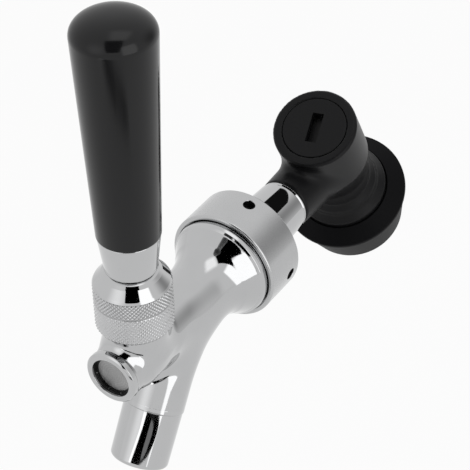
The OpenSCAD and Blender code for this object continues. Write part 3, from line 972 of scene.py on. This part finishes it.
@dataclass
class Faucet(SubAssembly):
    """The cast and chromed body, with its front boss, bell, flange and spout."""

    barrel_r: float = 9.7
    boss_r: float = 8.9
    boss_y: float = -14.2
    boss_front: float = 3.2
    bore_r: float = 6.65
    bore_len: float = 14.0
    bore_wall: float = 0.6
    rim_depth: float = 0.7
    seat_y: float = 34.0
    bell_rise: float = 1.15
    bell_len: float = 10.6
    flange_r: float = 17.2
    flange_y: float = 47.2
    flange_back: float = 2.8
    flange_inner_r: float = 12.0
    neck_r: float = 10.2
    neck_top: float = 22.0
    chamber_r: float = 7.6
    chamber_z: float = 12.6
    elbow_r: float = 9.85
    bend_r: float = 42.0
    spout_len: float = 51.0
    turned_len: float = 19.0
    spout_r: float = 9.6
    tip_r: float = 9.4
    tip_edge: float = 2.2
    passage_r: float = 6.0
    outlet_r: float = 6.6
    outlet_len: float = 22.0
    fillet: float = 6.0
    neck_fillet: float = 3.0
    cell: float = 0.55
    space: tuple[Triple, Triple] = ((-18.5, -13, -46), (18.5, 50, 23.5))

    def build(self) -> None:
        """Makes the casting and the turned faces that stand on it."""
        self.stand_for(self.casting(), "tap", CAST_CHROME, "faucet_body")
        self.stand_for(self.boss(), "tap", POLISHED)
        self.stand_for(self.bore(), "tap", RECESS_SHADE)
        self.stand_for(self.flange(), "tap", POLISHED)
        self.stand_for(self.spout_end(), "tap", POLISHED)
        self.keep(TURNED, "shaft")
        self.keep(STEEL, "shaft_nut")
        self.keep(RUBBER, "shaft_seat", "coupling_gasket")

    def bell(self) -> list[Point]:
        """Radius and distance of the bell that opens into the flange.

        Returns:
            The points from the barrel to the flange's front.
        """
        rise = (self.flange_r - self.barrel_r - 1) * self.bell_rise
        swing = [(self.barrel_r + rise * (1 - math.cos(a)), self.seat_y - 3 + self.bell_len * math.sin(a))
                 for a in np.radians(np.arange(0, 61, 5))]
        return swing + [(self.flange_r - 0.9, self.flange_y - 2.9)]

    def case(self) -> Field:
        """The boss, barrel and bell, turned about the shaft's axis.

        Returns:
            Their distance.
        """
        front, boss = self.boss_y + self.boss_front, self.boss_r
        section = [(0, front - 1.6), (boss - 0.8, front - 1.6), (boss - 0.3, front + 0.4),
                   (boss - 0.1, front + 2.5), (self.barrel_r, front + 6), *self.bell(),
                   (self.flange_r - 0.9, self.flange_y), (0, self.flange_y)]
        return turned(section, LAYOUT.shaft())

    def neck(self) -> Field:
        """The upright neck that the bonnet is screwed on.

        Returns:
            Its distance.
        """
        r, top = self.neck_r, self.neck_top
        section = [(0, -4), (6, -3.6), (9, -1.6), (r + 0.2, 2), (r, 8.5), (r, top), (0, top)]
        return turned(section, LAYOUT.tap())

    def bend(self) -> tuple[float, float]:
        """Angle of the spout's bend, and how far it reaches along each leg."""
        angle = math.radians(90 - LAYOUT.spout_tilt)
        return angle, self.bend_r * math.tan(angle / 2)

    def elbow(self) -> Field:
        """The bent tube between the barrel and the spout.

        Returns:
            Its distance.
        """
        bend, reach = self.bend()
        origin = np.array((LAYOUT.tap() @ Vector((0, LAYOUT.spout_root_y + reach, -self.bend_r)))[:])

        def distance(p: np.ndarray) -> np.ndarray:
            """Distance of points from the tube.

            Args:
                p: the points, in the row frame, in millimetres.

            Returns:
                The distances in millimetres.
            """
            q = p - origin
            angle = np.clip(np.arctan2(-q[:, 1], q[:, 2]), 0, bend)
            middle = self.bend_r * np.stack([np.zeros(len(q)), -np.sin(angle), np.cos(angle)], axis=1)
            return np.linalg.norm(q - middle, axis=1) - self.elbow_r

        return distance

    def straight(self) -> Field:
        """The straight stretch from the elbow to the turned end.

        Returns:
            Its distance.
        """
        start, r = self.bend()[1] - 0.05, self.elbow_r
        crease = self.spout_len - self.turned_len
        section = [(0, start), (r, start), (r, crease - 0.7), (r - 0.8, crease - 0.2), (0, crease - 0.2)]
        return turned(section, LAYOUT.spout())

    def casting(self) -> bpy.types.Object:
        """The soft union of barrel, neck, bell and elbow, with the bores cut through.

        Returns:
            The piece.
        """
        case, neck, elbow, straight = self.case(), self.neck(), self.elbow(), self.straight()
        bores = [turned(tube(self.bore_r, -30, self.seat_y), LAYOUT.shaft()),
                 turned(tube(self.passage_r, 2, 80), LAYOUT.spout()),
                 turned(tube(self.chamber_r, self.chamber_z, 40), LAYOUT.tap())]

        def whole(p: np.ndarray) -> np.ndarray:
            """Distance to the casting."""
            solid = blend(case(p), np.minimum(elbow(p), straight(p)), self.fillet)
            return drilled(blend(solid, neck(p), self.neck_fillet), p, bores)

        low, high = (LAYOUT.tap() @ Vector(corner) for corner in self.space)
        return skin_of("faucet_casting", whole, low, high, self.cell)

    def boss(self) -> bpy.types.Object:
        """The turned front of the boss, with its rim.

        Returns:
            The piece.
        """
        y, r = self.boss_y, self.boss_r
        corners = [(self.bore_r, y + self.rim_depth, 0), (self.bore_r, y, 0.25), (r - 0.6, y, 0.3),
                   (r - 0.05, y + 0.5, 0.3), (r, y + 2.0, 0.4), (r - 0.35, y + 2.6, 0.4),
                   (r - 0.5, y + 4.6, 0)]
        return lathe("boss_rim", rounded(corners), LAYOUT.shaft())

    def bore(self) -> bpy.types.Object:
        """The wall that the shaft slides in, darkened with painted shade.

        Returns:
            The piece.
        """
        r, front, back = self.bore_r, self.boss_y + self.rim_depth, self.boss_y + self.bore_len
        wall = supported([(r + self.bore_wall, back), (r, back), (r, front), (r + self.bore_wall, front)])
        return lathe("boss_bore", wall, LAYOUT.shaft(), PLAIN)

    def flange(self) -> bpy.types.Object:
        """The crisp rim of the flange at the coupling nut.

        Returns:
            The piece.
        """
        r, y, back = self.flange_r, self.flange_y, self.flange_y + self.flange_back
        corners = [(self.flange_inner_r, y - 2.6, 0), (r - 0.95, y - 2.95, 0.2), (r - 0.3, y - 2.3, 0.4),
                   (r, y - 1.4, 0.3), (r, back, 0.1), (self.flange_inner_r, back, 0)]
        return lathe("flange_rim", rounded(corners), LAYOUT.shaft())

    def spout_end(self) -> bpy.types.Object:
        """The turned end of the spout with its bore.

        Returns:
            The piece.
        """
        start, tip, r = self.spout_len - self.turned_len, self.spout_len, self.elbow_r
        corners = [(r - 0.1, start - 3.0, 0), (r + 0.01, start - 1.4, 0.5), (r + 0.01, start - 0.2, 0.12),
                   (self.spout_r, start + 0.05, 0.1), (self.tip_r, tip, self.tip_edge),
                   (self.outlet_r, tip, 0.3), (self.outlet_r, tip - self.outlet_len, 0.1),
                   (self.passage_r, tip - self.outlet_len, 0)]
        return lathe("spout_end", rounded(corners, steps=8), LAYOUT.spout())


@dataclass
class Coupling(SubAssembly):
    """The coupling nut and the tapered adapter behind it."""

    front: float = 47.2
    length: float = 16.0
    radius: float = 19.0
    mouth_r: float = 17.5
    mouth_len: float = 2.8
    inner_r: float = 14.4
    back_wall: float = 2.2
    back_gap: float = 0.3
    nut_steps: int = 256
    adapter_r: float = 10.2
    adapter_rear_r: float = 9.25
    adapter_len: float = 20.0
    adapter_front: float = 2.4
    way_r: float = 4.0
    bead_len: float = 1.4
    holes: int = 4
    hole_r: float = 2.0
    hole_row: float = 11.4
    hole_depth: float = 3.0
    hole_bevel: float = 0.3
    hole_phase: float = 10.0
    hole_steps: int = 48

    def build(self) -> None:
        """Makes the nut with its spanner holes, and the adapter."""
        self.stand_for(self.nut(), "tap", SATIN, "coupling_nut")
        for k in range(self.holes):
            self.stand_for(self.hole_wall(k), "tap", RECESS_SHADE)
        self.stand_for(self.adapter(), "tap", POLISHED, "adapter")
        self.keep(NYLON, "flare_washer")

    def nut(self) -> bpy.types.Object:
        """The round nut with its spanner holes.

        Returns:
            The piece.
        """
        front, back, hole = self.front, self.front + self.length, self.adapter_r + self.back_gap
        seat, wall = front + self.mouth_len, back - self.back_wall
        corners = [(self.mouth_r, front, 0.2), (self.radius, front, 0.9), (self.radius, back, 0.5),
                   (hole, back, 0.2), (hole, wall, 0.1), (self.inner_r, wall, 0), (self.inner_r, seat, 0),
                   (self.mouth_r, seat, 0)]
        piece = lathe("coupling_nut_shell", rounded(corners, closed=True), LAYOUT.shaft(), self.nut_steps,
                      closed=True)
        r, wide, out = self.hole_r, self.hole_r + self.hole_bevel, self.radius
        drill = [(0, out - self.hole_depth), (r, out - self.hole_depth), (r, out - 0.15), (wide, out + 0.2),
                 (wide, out + 3), (0, out + 3)]
        for k in range(self.holes):
            cut(piece, lathe("drill", drill, self.hole(k), self.hole_steps))
        smooth(piece)
        even = piece.modifiers.new("even", "WEIGHTED_NORMAL")
        even.keep_sharp = True
        return piece

    def hole(self, k: int) -> Matrix:
        """Frame of a spanner hole.

        Args:
            k: the hole's number from 0.

        Returns:
            Its Z lies along the hole's axis, outward.
        """
        turn = Matrix.Rotation(math.radians(360 / self.holes * k + self.hole_phase), 4, "Z")
        out = Matrix.Rotation(math.pi / 2, 4, "X")
        return LAYOUT.shaft() @ Matrix.Translation((0, 0, self.front + self.hole_row)) @ turn @ out

    def hole_wall(self, k: int) -> bpy.types.Object:
        """The inside of a spanner hole, as a thin cup darkened with painted shade.

        Args:
            k: the hole's number from 0.

        Returns:
            The piece.
        """
        inner, outer = self.hole_r - 0.05, self.hole_r + 0.15
        top, floor = self.radius - 0.25, self.radius - self.hole_depth + 0.1
        cup = [(0, floor), (inner, floor), (inner, top), (outer, top), (outer, floor - 0.2), (0, floor - 0.2)]
        return lathe(f"spanner_hole_{k + 1}", supported(cup, inset=0.04), self.hole(k), self.hole_steps)

    def adapter(self) -> bpy.types.Object:
        """The tapered sleeve between the nut and the coupler, with its bead.

        Returns:
            The piece.
        """
        start = self.front + self.length
        end, front, r = start + self.adapter_len, start - self.adapter_front, self.adapter_rear_r
        corners = [(self.way_r, front, 0), (self.adapter_r, front, 0.1), (self.adapter_r, start, 0),
                   (r, end - 0.3, 0.3), (r - 0.5, end + 0.1, 0.1), (r - 0.1, end + self.bead_len / 2, 0.4),
                   (r - 0.5, end + self.bead_len, 0.2), (self.way_r, end + self.bead_len, 0)]
        return lathe("adapter_shell", rounded(corners), LAYOUT.shaft())


@dataclass
class Coupler(SubAssembly):
    """The black quick coupler with its cap, locking sleeve and inner works."""

    barrel_r: float = 14.4
    waist_r: float = 11.8
    face_h: float = 62.1
    guide_r: float = 15.95
    guide_low: float = 14.8
    guide_high: float = 20.5
    skirt_r: float = 11.6
    arm_end: float = 30.2
    arm_r: float = 9.6
    arm_end_r: float = 9.1
    arm_fillet: float = 3.6
    mouth_r: float = 9.9
    post_r: float = 8.8
    pin_r: float = 7.4
    chamber_r: float = 8.0
    chamber_low: float = 30.0
    thread_low: float = 53.0
    seat_h: float = 60.6
    cap_r: float = 11.0
    cap_gap: float = 0.15
    cap_len: float = 9.0
    slot_w: float = 3.9
    slot_len: float = 10.8
    slot_depth: float = 3.5
    slot_turn: float = 13.0
    sleeve_r: float = 22.2
    wall_r: float = 21.7
    foot_r: float = 17.7
    foot: float = 6.0
    rim_h: float = 13.0
    top_h: float = 16.2
    opening_r: float = 16.2
    ramp_r: float = 13.84
    ramp_h: float = 2.2
    room_r: float = 17.2
    spring_r: float = 18.67
    collar_r: float = 12.07
    collar_h: float = 8.5
    shell: float = 2.4
    cell: float = 0.55
    space_r: float = 17.0
    space_h: float = 63.0
    arm_space_r: float = 11.0

    def build(self) -> None:
        """Makes the moulded body, cap and sleeve, and dresses the inner works."""
        self.stand_for(self.moulding(), "tap", MOULDED, "coupler_body")
        self.stand_for(self.cap(), "tap", MOULDED, "coupler_cap")
        self.stand_for(self.sleeve(), "sleeve", SLEEVE, "locking_sleeve")
        self.keep(STEEL, "poppet", "poppet_spring", "sleeve_spring", "sleeve_retainer",
                  "lock_ball_1", "lock_ball_2", "lock_ball_3")
        self.keep(RUBBER, "cap_seal", "poppet_seal")

    def barrel(self) -> Field:
        """The upright barrel with its waist, guide and skirt.

        Returns:
            Its distance.
        """
        g, w, guide, barrel = self.guide_high, self.waist_r, self.guide_r, self.barrel_r
        section = [(0, 0), (self.skirt_r, 0), (self.skirt_r, self.guide_low), (guide, self.guide_low),
                   (guide, g - 2.6), (guide - 0.5, g - 2.2), (w + 2, g), (w + 1.6, g + 2.2),
                   (w + 1.1, g + 2.8), (w, g + 4.5), (w, 31), (w + 0.6, 34), (barrel - 0.7, 39),
                   (barrel, 42), (barrel, self.face_h - 0.7), (barrel - 0.7, self.face_h), (0, self.face_h)]
        return turned(section, LAYOUT.coupler())

    def side_arm(self) -> Field:
        """The arm that the adapter is screwed in.

        Returns:
            Its distance.
        """
        end, r = self.arm_end, self.arm_end_r
        section = [(0, 0), (self.arm_r, 0), (self.arm_r, 18), (r, end - 0.6), (r - 0.6, end), (0, end)]
        return turned(section, LAYOUT.arm())

    def bores(self) -> list[Field]:
        """The post bore with its mouth and pin room, and the chamber with the cap's seat.

        Returns:
            Their distances.
        """
        low = [(0, -5), (self.mouth_r, -5), (self.mouth_r, 9), (self.post_r, 9), (self.post_r, 22),
               (self.pin_r, 22), (self.pin_r, 26), (0, 26)]
        thread, seat = self.cap_r - 0.4, self.cap_r + self.cap_gap
        high = [(0, self.chamber_low), (self.chamber_r, self.chamber_low), (self.chamber_r, self.thread_low),
                (thread, self.thread_low), (thread, self.seat_h), (seat, self.seat_h), (seat, 70), (0, 70)]
        return [turned(section, LAYOUT.coupler()) for section in (low, high)]

    def moulding(self) -> bpy.types.Object:
        """The soft union of the upright barrel and the side arm, with the bores cut through.

        Returns:
            The piece.
        """
        coupler, arm = LAYOUT.coupler(), LAYOUT.arm()
        barrel, side, bores = self.barrel(), self.side_arm(), self.bores()

        def whole(p: np.ndarray) -> np.ndarray:
            """Distance to the moulding."""
            return drilled(blend(barrel(p), side(p), self.arm_fillet), p, bores)

        wide, slim = (-self.space_r, self.space_r), (-self.arm_space_r, self.arm_space_r)
        corners = [coupler @ Vector((x, y, z)) for x in wide for y in wide for z in (-1, self.space_h)]
        corners += [arm @ Vector((x, y, self.arm_end + 1)) for x in slim for y in slim]
        low, high = (Vector([end(c[i] for c in corners) for i in range(3)]) for end in (min, max))
        return skin_of("coupler_moulding", whole, low, high, self.cell)

    def cap(self) -> bpy.types.Object:
        """The screwed cap with its driver slot.

        Returns:
            The piece.
        """
        h, r, low = self.face_h, self.cap_r, self.face_h - self.cap_len
        corners = [(0, low, 0), (r - 0.5, low, 0.3), (r - 0.5, h - 1.5, 0), (r, h - 1.5, 0), (r, h, 0.3),
                   (0, h, 0)]
        piece = lathe("cap_disc", rounded(corners), LAYOUT.coupler(), PLAIN)
        turn = Matrix.Rotation(math.radians(self.slot_turn), 4, "Z")
        place = LAYOUT.coupler() @ turn @ Matrix.Translation((0, 0, h - self.slot_depth))
        x, y = self.slot_w / 2, self.slot_len / 2
        box = np.array([(*corner, z) for z in (0, 6) for corner in ((-x, -y), (x, -y), (x, y), (-x, y))])
        sides = [(0, 3, 2, 1), (4, 5, 6, 7), (0, 1, 5, 4), (1, 2, 6, 5), (2, 3, 7, 6), (3, 0, 4, 7)]
        cut(piece, new_piece("slot", box, sides, place))
        return smooth(piece)

    def sleeve(self) -> bpy.types.Object:
        """The lifting sleeve with its sloping top, inner cone and tapered foot.

        Returns:
            The piece.
        """
        r, w, hole, inner = self.sleeve_r, self.wall_r, self.opening_r, self.foot_r - self.shell
        top, rim, foot = self.top_h, self.rim_h, -self.foot
        corners = [(self.ramp_r, self.ramp_h, 0.3), (self.room_r, self.ramp_h, 0.5), (inner, foot + 0.3, 0),
                   (inner + 0.3, foot, 0.1), (self.foot_r, foot, 0.8), (w, rim - 1.8, 0.3),
                   (r, rim - 1.2, 0.3), (r, rim, 0.6),
                   (hole + 0.8, top - 0.3, 0.3), (hole + 0.3, top, 0.2), (hole, top - 0.2, 0.2),
                   (hole, rim, 0), (w - self.shell, rim - 2, 0), (self.spring_r, self.collar_h, 0),
                   (self.collar_r, self.collar_h, 0.2)]
        return lathe("sleeve_ring", rounded(corners, closed=True), LAYOUT.coupler(), closed=True)


# Studio


SPOUT_FRONT = (0.001, -0.128, -0.011)


@dataclass(frozen=True)
class Panel:
    """A flat panel of the studio, which faces the tap from a direction.

    The azimuth is in degrees from the shaft's far end round by the right, and a glow
    of 1 is white. A card shows in polished surfaces alone, and a lamp lights them all.
    """

    name: str
    azimuth: float
    elevation: float
    width: float
    height: float
    glow: float
    lamp: bool = False
    soft: float = 0.05
    outline: tuple[Point, ...] = ()
    distance: float = 0.9
    target: Triple = (0.0, -0.06, 0.05)

    def build(self) -> None:
        """Hangs the panel in its place."""
        turn, rise = math.radians(self.azimuth), math.radians(self.elevation)
        out = Vector((math.sin(turn) * math.cos(rise), math.cos(turn) * math.cos(rise), math.sin(rise)))
        panel = self.softbox() if self.lamp else self.card()
        panel.location = Vector(self.target) + out * self.distance
        panel.rotation_euler = out.to_track_quat("Z", "Y").to_euler()

    def softbox(self) -> bpy.types.Object:
        """A rectangular lamp with a face as bright as the glow says.

        Returns:
            The lamp, at the origin.
        """
        data = bpy.data.lights.new(self.name, "AREA")
        data.shape, data.size, data.size_y = "RECTANGLE", self.width, self.height
        data.energy = self.glow * math.pi * self.width * self.height
        lamp = bpy.data.objects.new(self.name, data)
        lamp.visible_glossy = False
        bpy.context.scene.collection.objects.link(lamp)
        return lamp

    def card(self) -> bpy.types.Object:
        """A card that only reflections see.

        Returns:
            The card, at the origin.
        """
        x, y = self.width / 2, self.height / 2
        mesh = bpy.data.meshes.new(self.name)
        corners = self.outline or ((-x, -y), (x, -y), (x, y), (-x, y))
        mesh.from_pydata([(*corner, 0.0) for corner in corners], [], [range(len(corners))])
        mesh.materials.append(self.card_face())
        card = bpy.data.objects.new(self.name, mesh)
        bpy.context.scene.collection.objects.link(card)
        card.visible_camera = card.visible_diffuse = False
        card.visible_shadow = card.visible_transmission = False
        card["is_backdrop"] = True
        return card

    def card_face(self) -> bpy.types.Material:
        """The card's even glow, which fades out towards its edges.

        Returns:
            The material.
        """
        material = bpy.data.materials.new(self.name)
        material.use_nodes = True
        graph = Graph(material.node_tree)
        across, up, _ = graph.add("ShaderNodeSeparateXYZ", None, {0: graph.object_spot()})
        shown = graph.add("ShaderNodeEmission", None, {"Color": (1, 1, 1, 1), "Strength": self.glow})[0]
        if self.soft:
            mask = 1.0
            for place, half in ((across, self.width / 2), (up, self.height / 2)):
                mask = (1.0 - place.size() / half).step(0.0, self.soft) * mask
            clear = graph.add("ShaderNodeBsdfTransparent")[0]
            shown = graph.add("ShaderNodeMixShader", None, {0: mask, 1: clear, 2: shown})[0]
        graph.add("ShaderNodeOutputMaterial", None, {0: shown})
        return material


def card_shape(*millimetres: float) -> tuple[Point, ...]:
    """Outline of a card in metres, from its corners across and up in millimetres."""
    return tuple((x / MM_PER_M, y / MM_PER_M) for x, y in zip(millimetres[::2], millimetres[1::2]))


@dataclass
class Studio:
    """A white surround and floor, a few panels, and the camera of the photograph."""

    floor_drop: float = 0.09
    floor_half: float = 6.0
    floor_tone: float = 0.8
    floor_glow: float = 0.92
    surround: float = 0.62
    sensor: float = 36.0
    lens: float = 136.5
    eye: Triple = (0.249885, -0.44469, 0.392254)
    right: Triple = (0.84214, 0.53891, -0.01939)
    down: Triple = (0.31777, -0.52499, -0.78956)
    forward: Triple = (-0.43569, 0.65876, -0.61336)
    shift: Point = (-0.01866, -0.06817)
    panels: tuple[Panel, ...] = (
        Panel("key_lamp", 107, 24, 0.6, 0.7, 2.0, lamp=True),
        Panel("rear_lamp", -150, 48, 0.6, 0.4, 1.4, lamp=True),
        Panel("key_card", 110, 10, 0.66, 1.4, 2.1, soft=0.25),
        Panel("ceiling_card", 60, 84, 0.6, 0.6, 1.7, soft=0.6),
        Panel("left_card", -171, 22, 0.95, 1.4, 1.55, soft=1.0),
        Panel("hood_card", 149, 45, 0.52, 1.0, 0.0, distance=0.88),
        Panel("bow_card", 150, 0, 0.2, 0.07, 0.0, soft=0, distance=0.16, target=SPOUT_FRONT,
              outline=card_shape(-53, 48, -57, 41, -72, 35, -90, 30, -91, 28, -27, 18, 9, 10.5, 36, 3, 60, -5,
                                 80, -11, 92, -14, 101, -13, 96.5, -7, 83, 2.3, 57, 16.5, 25, 29.5, -25, 43)),
        Panel("slit_card", 150, 0, 0.2, 0.07, 0.28, soft=0, distance=0.159, target=SPOUT_FRONT,
              outline=card_shape(9, 29.4, 28, 22.7, 45, 14, 49, 8.8, 36, 6.6, 17, 10, 1.6, 14.5, -1, 19,
                                 6.5, 25.7)),
        Panel("strip_card", 150, 0, 0.2, 0.07, 2.2, soft=0, distance=0.159, target=SPOUT_FRONT,
              outline=card_shape(-53, 46.5, -59, 40, -73, 35, -91, 30, -92, 28, -126, 31, -104, 38,
                                 -88, 43.7, -94, 52)),
        Panel("head_card", 180, 89, 0.015, 0.022, 0.01, distance=0.01, target=(0.0057, -0.051, 0.03)),
        Panel("spot_card", 180, 89, 0.005, 0.008, 0.9, soft=1.0, distance=0.0098,
              target=(0.0012, -0.055, 0.03)),
        Panel("side_card", 42, 15, 1.1, 1.3, 0.4, soft=1.0))

    def build(self) -> None:
        """Makes the camera, surround, panels and floor."""
        self.camera()
        self.world()
        for panel in self.panels:
            panel.build()
        self.floor()

    def camera(self) -> None:
        """Sets the camera up as the photograph was taken."""
        data = bpy.data.cameras.new("camera")
        data.sensor_width, data.lens = self.sensor, self.lens
        data.shift_x, data.shift_y = self.shift
        data.clip_start, data.clip_end = 0.01, 20.0
        camera = bpy.data.objects.new("camera", data)
        bpy.context.scene.collection.objects.link(camera)
        turn = Matrix((self.right, [-v for v in self.down], [-v for v in self.forward])).transposed().to_4x4()
        camera.matrix_world = Matrix.Translation(self.eye) @ turn
        bpy.context.scene.camera = camera

    @staticmethod
    def seen(graph: Graph) -> Signal:
        """1 where the camera looks straight, or through a reflection or glass, and 0 for light.

        Args:
            graph: the node tree that asks.

        Returns:
            The mask.
        """
        path = graph.add("ShaderNodeLightPath")
        camera, glossy, transmission = path[0], path[3], path[6]
        return (camera + glossy + transmission).clamp()

    def world(self) -> None:
        """A surround that is white to the camera and to polished surfaces, and a soft light otherwise."""
        world = bpy.data.worlds.new("surround")
        bpy.context.scene.world = world
        world.use_nodes = True
        graph = Graph(world.node_tree)
        strength = self.seen(graph) * (1.0 - self.surround) + self.surround
        light = graph.add("ShaderNodeBackground", None, {0: (1, 1, 1, 1), 1: strength})[0]
        graph.add("ShaderNodeOutputWorld", None, {0: light})

    def floor(self) -> None:
        """A wide pale floor, white where no shadow falls."""
        low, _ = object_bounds()
        mesh = bpy.data.meshes.new("floor")
        form = bmesh.new()
        bmesh.ops.create_grid(form, x_segments=2, y_segments=2, size=self.floor_half)
        form.to_mesh(mesh)
        form.free()
        mesh.materials.append(self.floor_face())
        floor = bpy.data.objects.new("floor", mesh)
        floor.location.z = low.z - self.floor_drop
        bpy.context.scene.collection.objects.link(floor)
        floor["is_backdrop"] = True

    def floor_face(self) -> bpy.types.Material:
        """Pale paint with a glow that only the camera and polished surfaces see.

        Returns:
            The material.
        """
        material = bpy.data.materials.new("pale_floor")
        material.use_nodes = True
        graph = Graph(material.node_tree)
        paint = graph.add("ShaderNodeBsdfDiffuse", None, {"Color": (*(self.floor_tone,) * 3, 1)})[0]
        glow = graph.add("ShaderNodeEmission", None, {"Color": (1, 1, 1, 1), "Strength": 1.0})[0]
        share = self.seen(graph) * self.floor_glow
        mixed = graph.add("ShaderNodeMixShader", None, {0: share, 1: paint, 2: glow})[0]
        graph.add("ShaderNodeOutputMaterial", None, {0: mixed})
        return material


def main() -> None:
    """Builds the tap's pieces, the studio and the camera."""
    logging.basicConfig(level=logging.INFO, format="%(name)s: %(message)s")
    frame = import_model()
    for part in (Handle, Bonnet, Faucet, Coupling, Coupler):
        part(frame["nodes"]).build()
        LOG.info("%s is dressed", part.__name__)
    Studio().build()
    bpy.context.scene.view_settings.view_transform = "Standard"


if __name__ == "__main__":
    main()
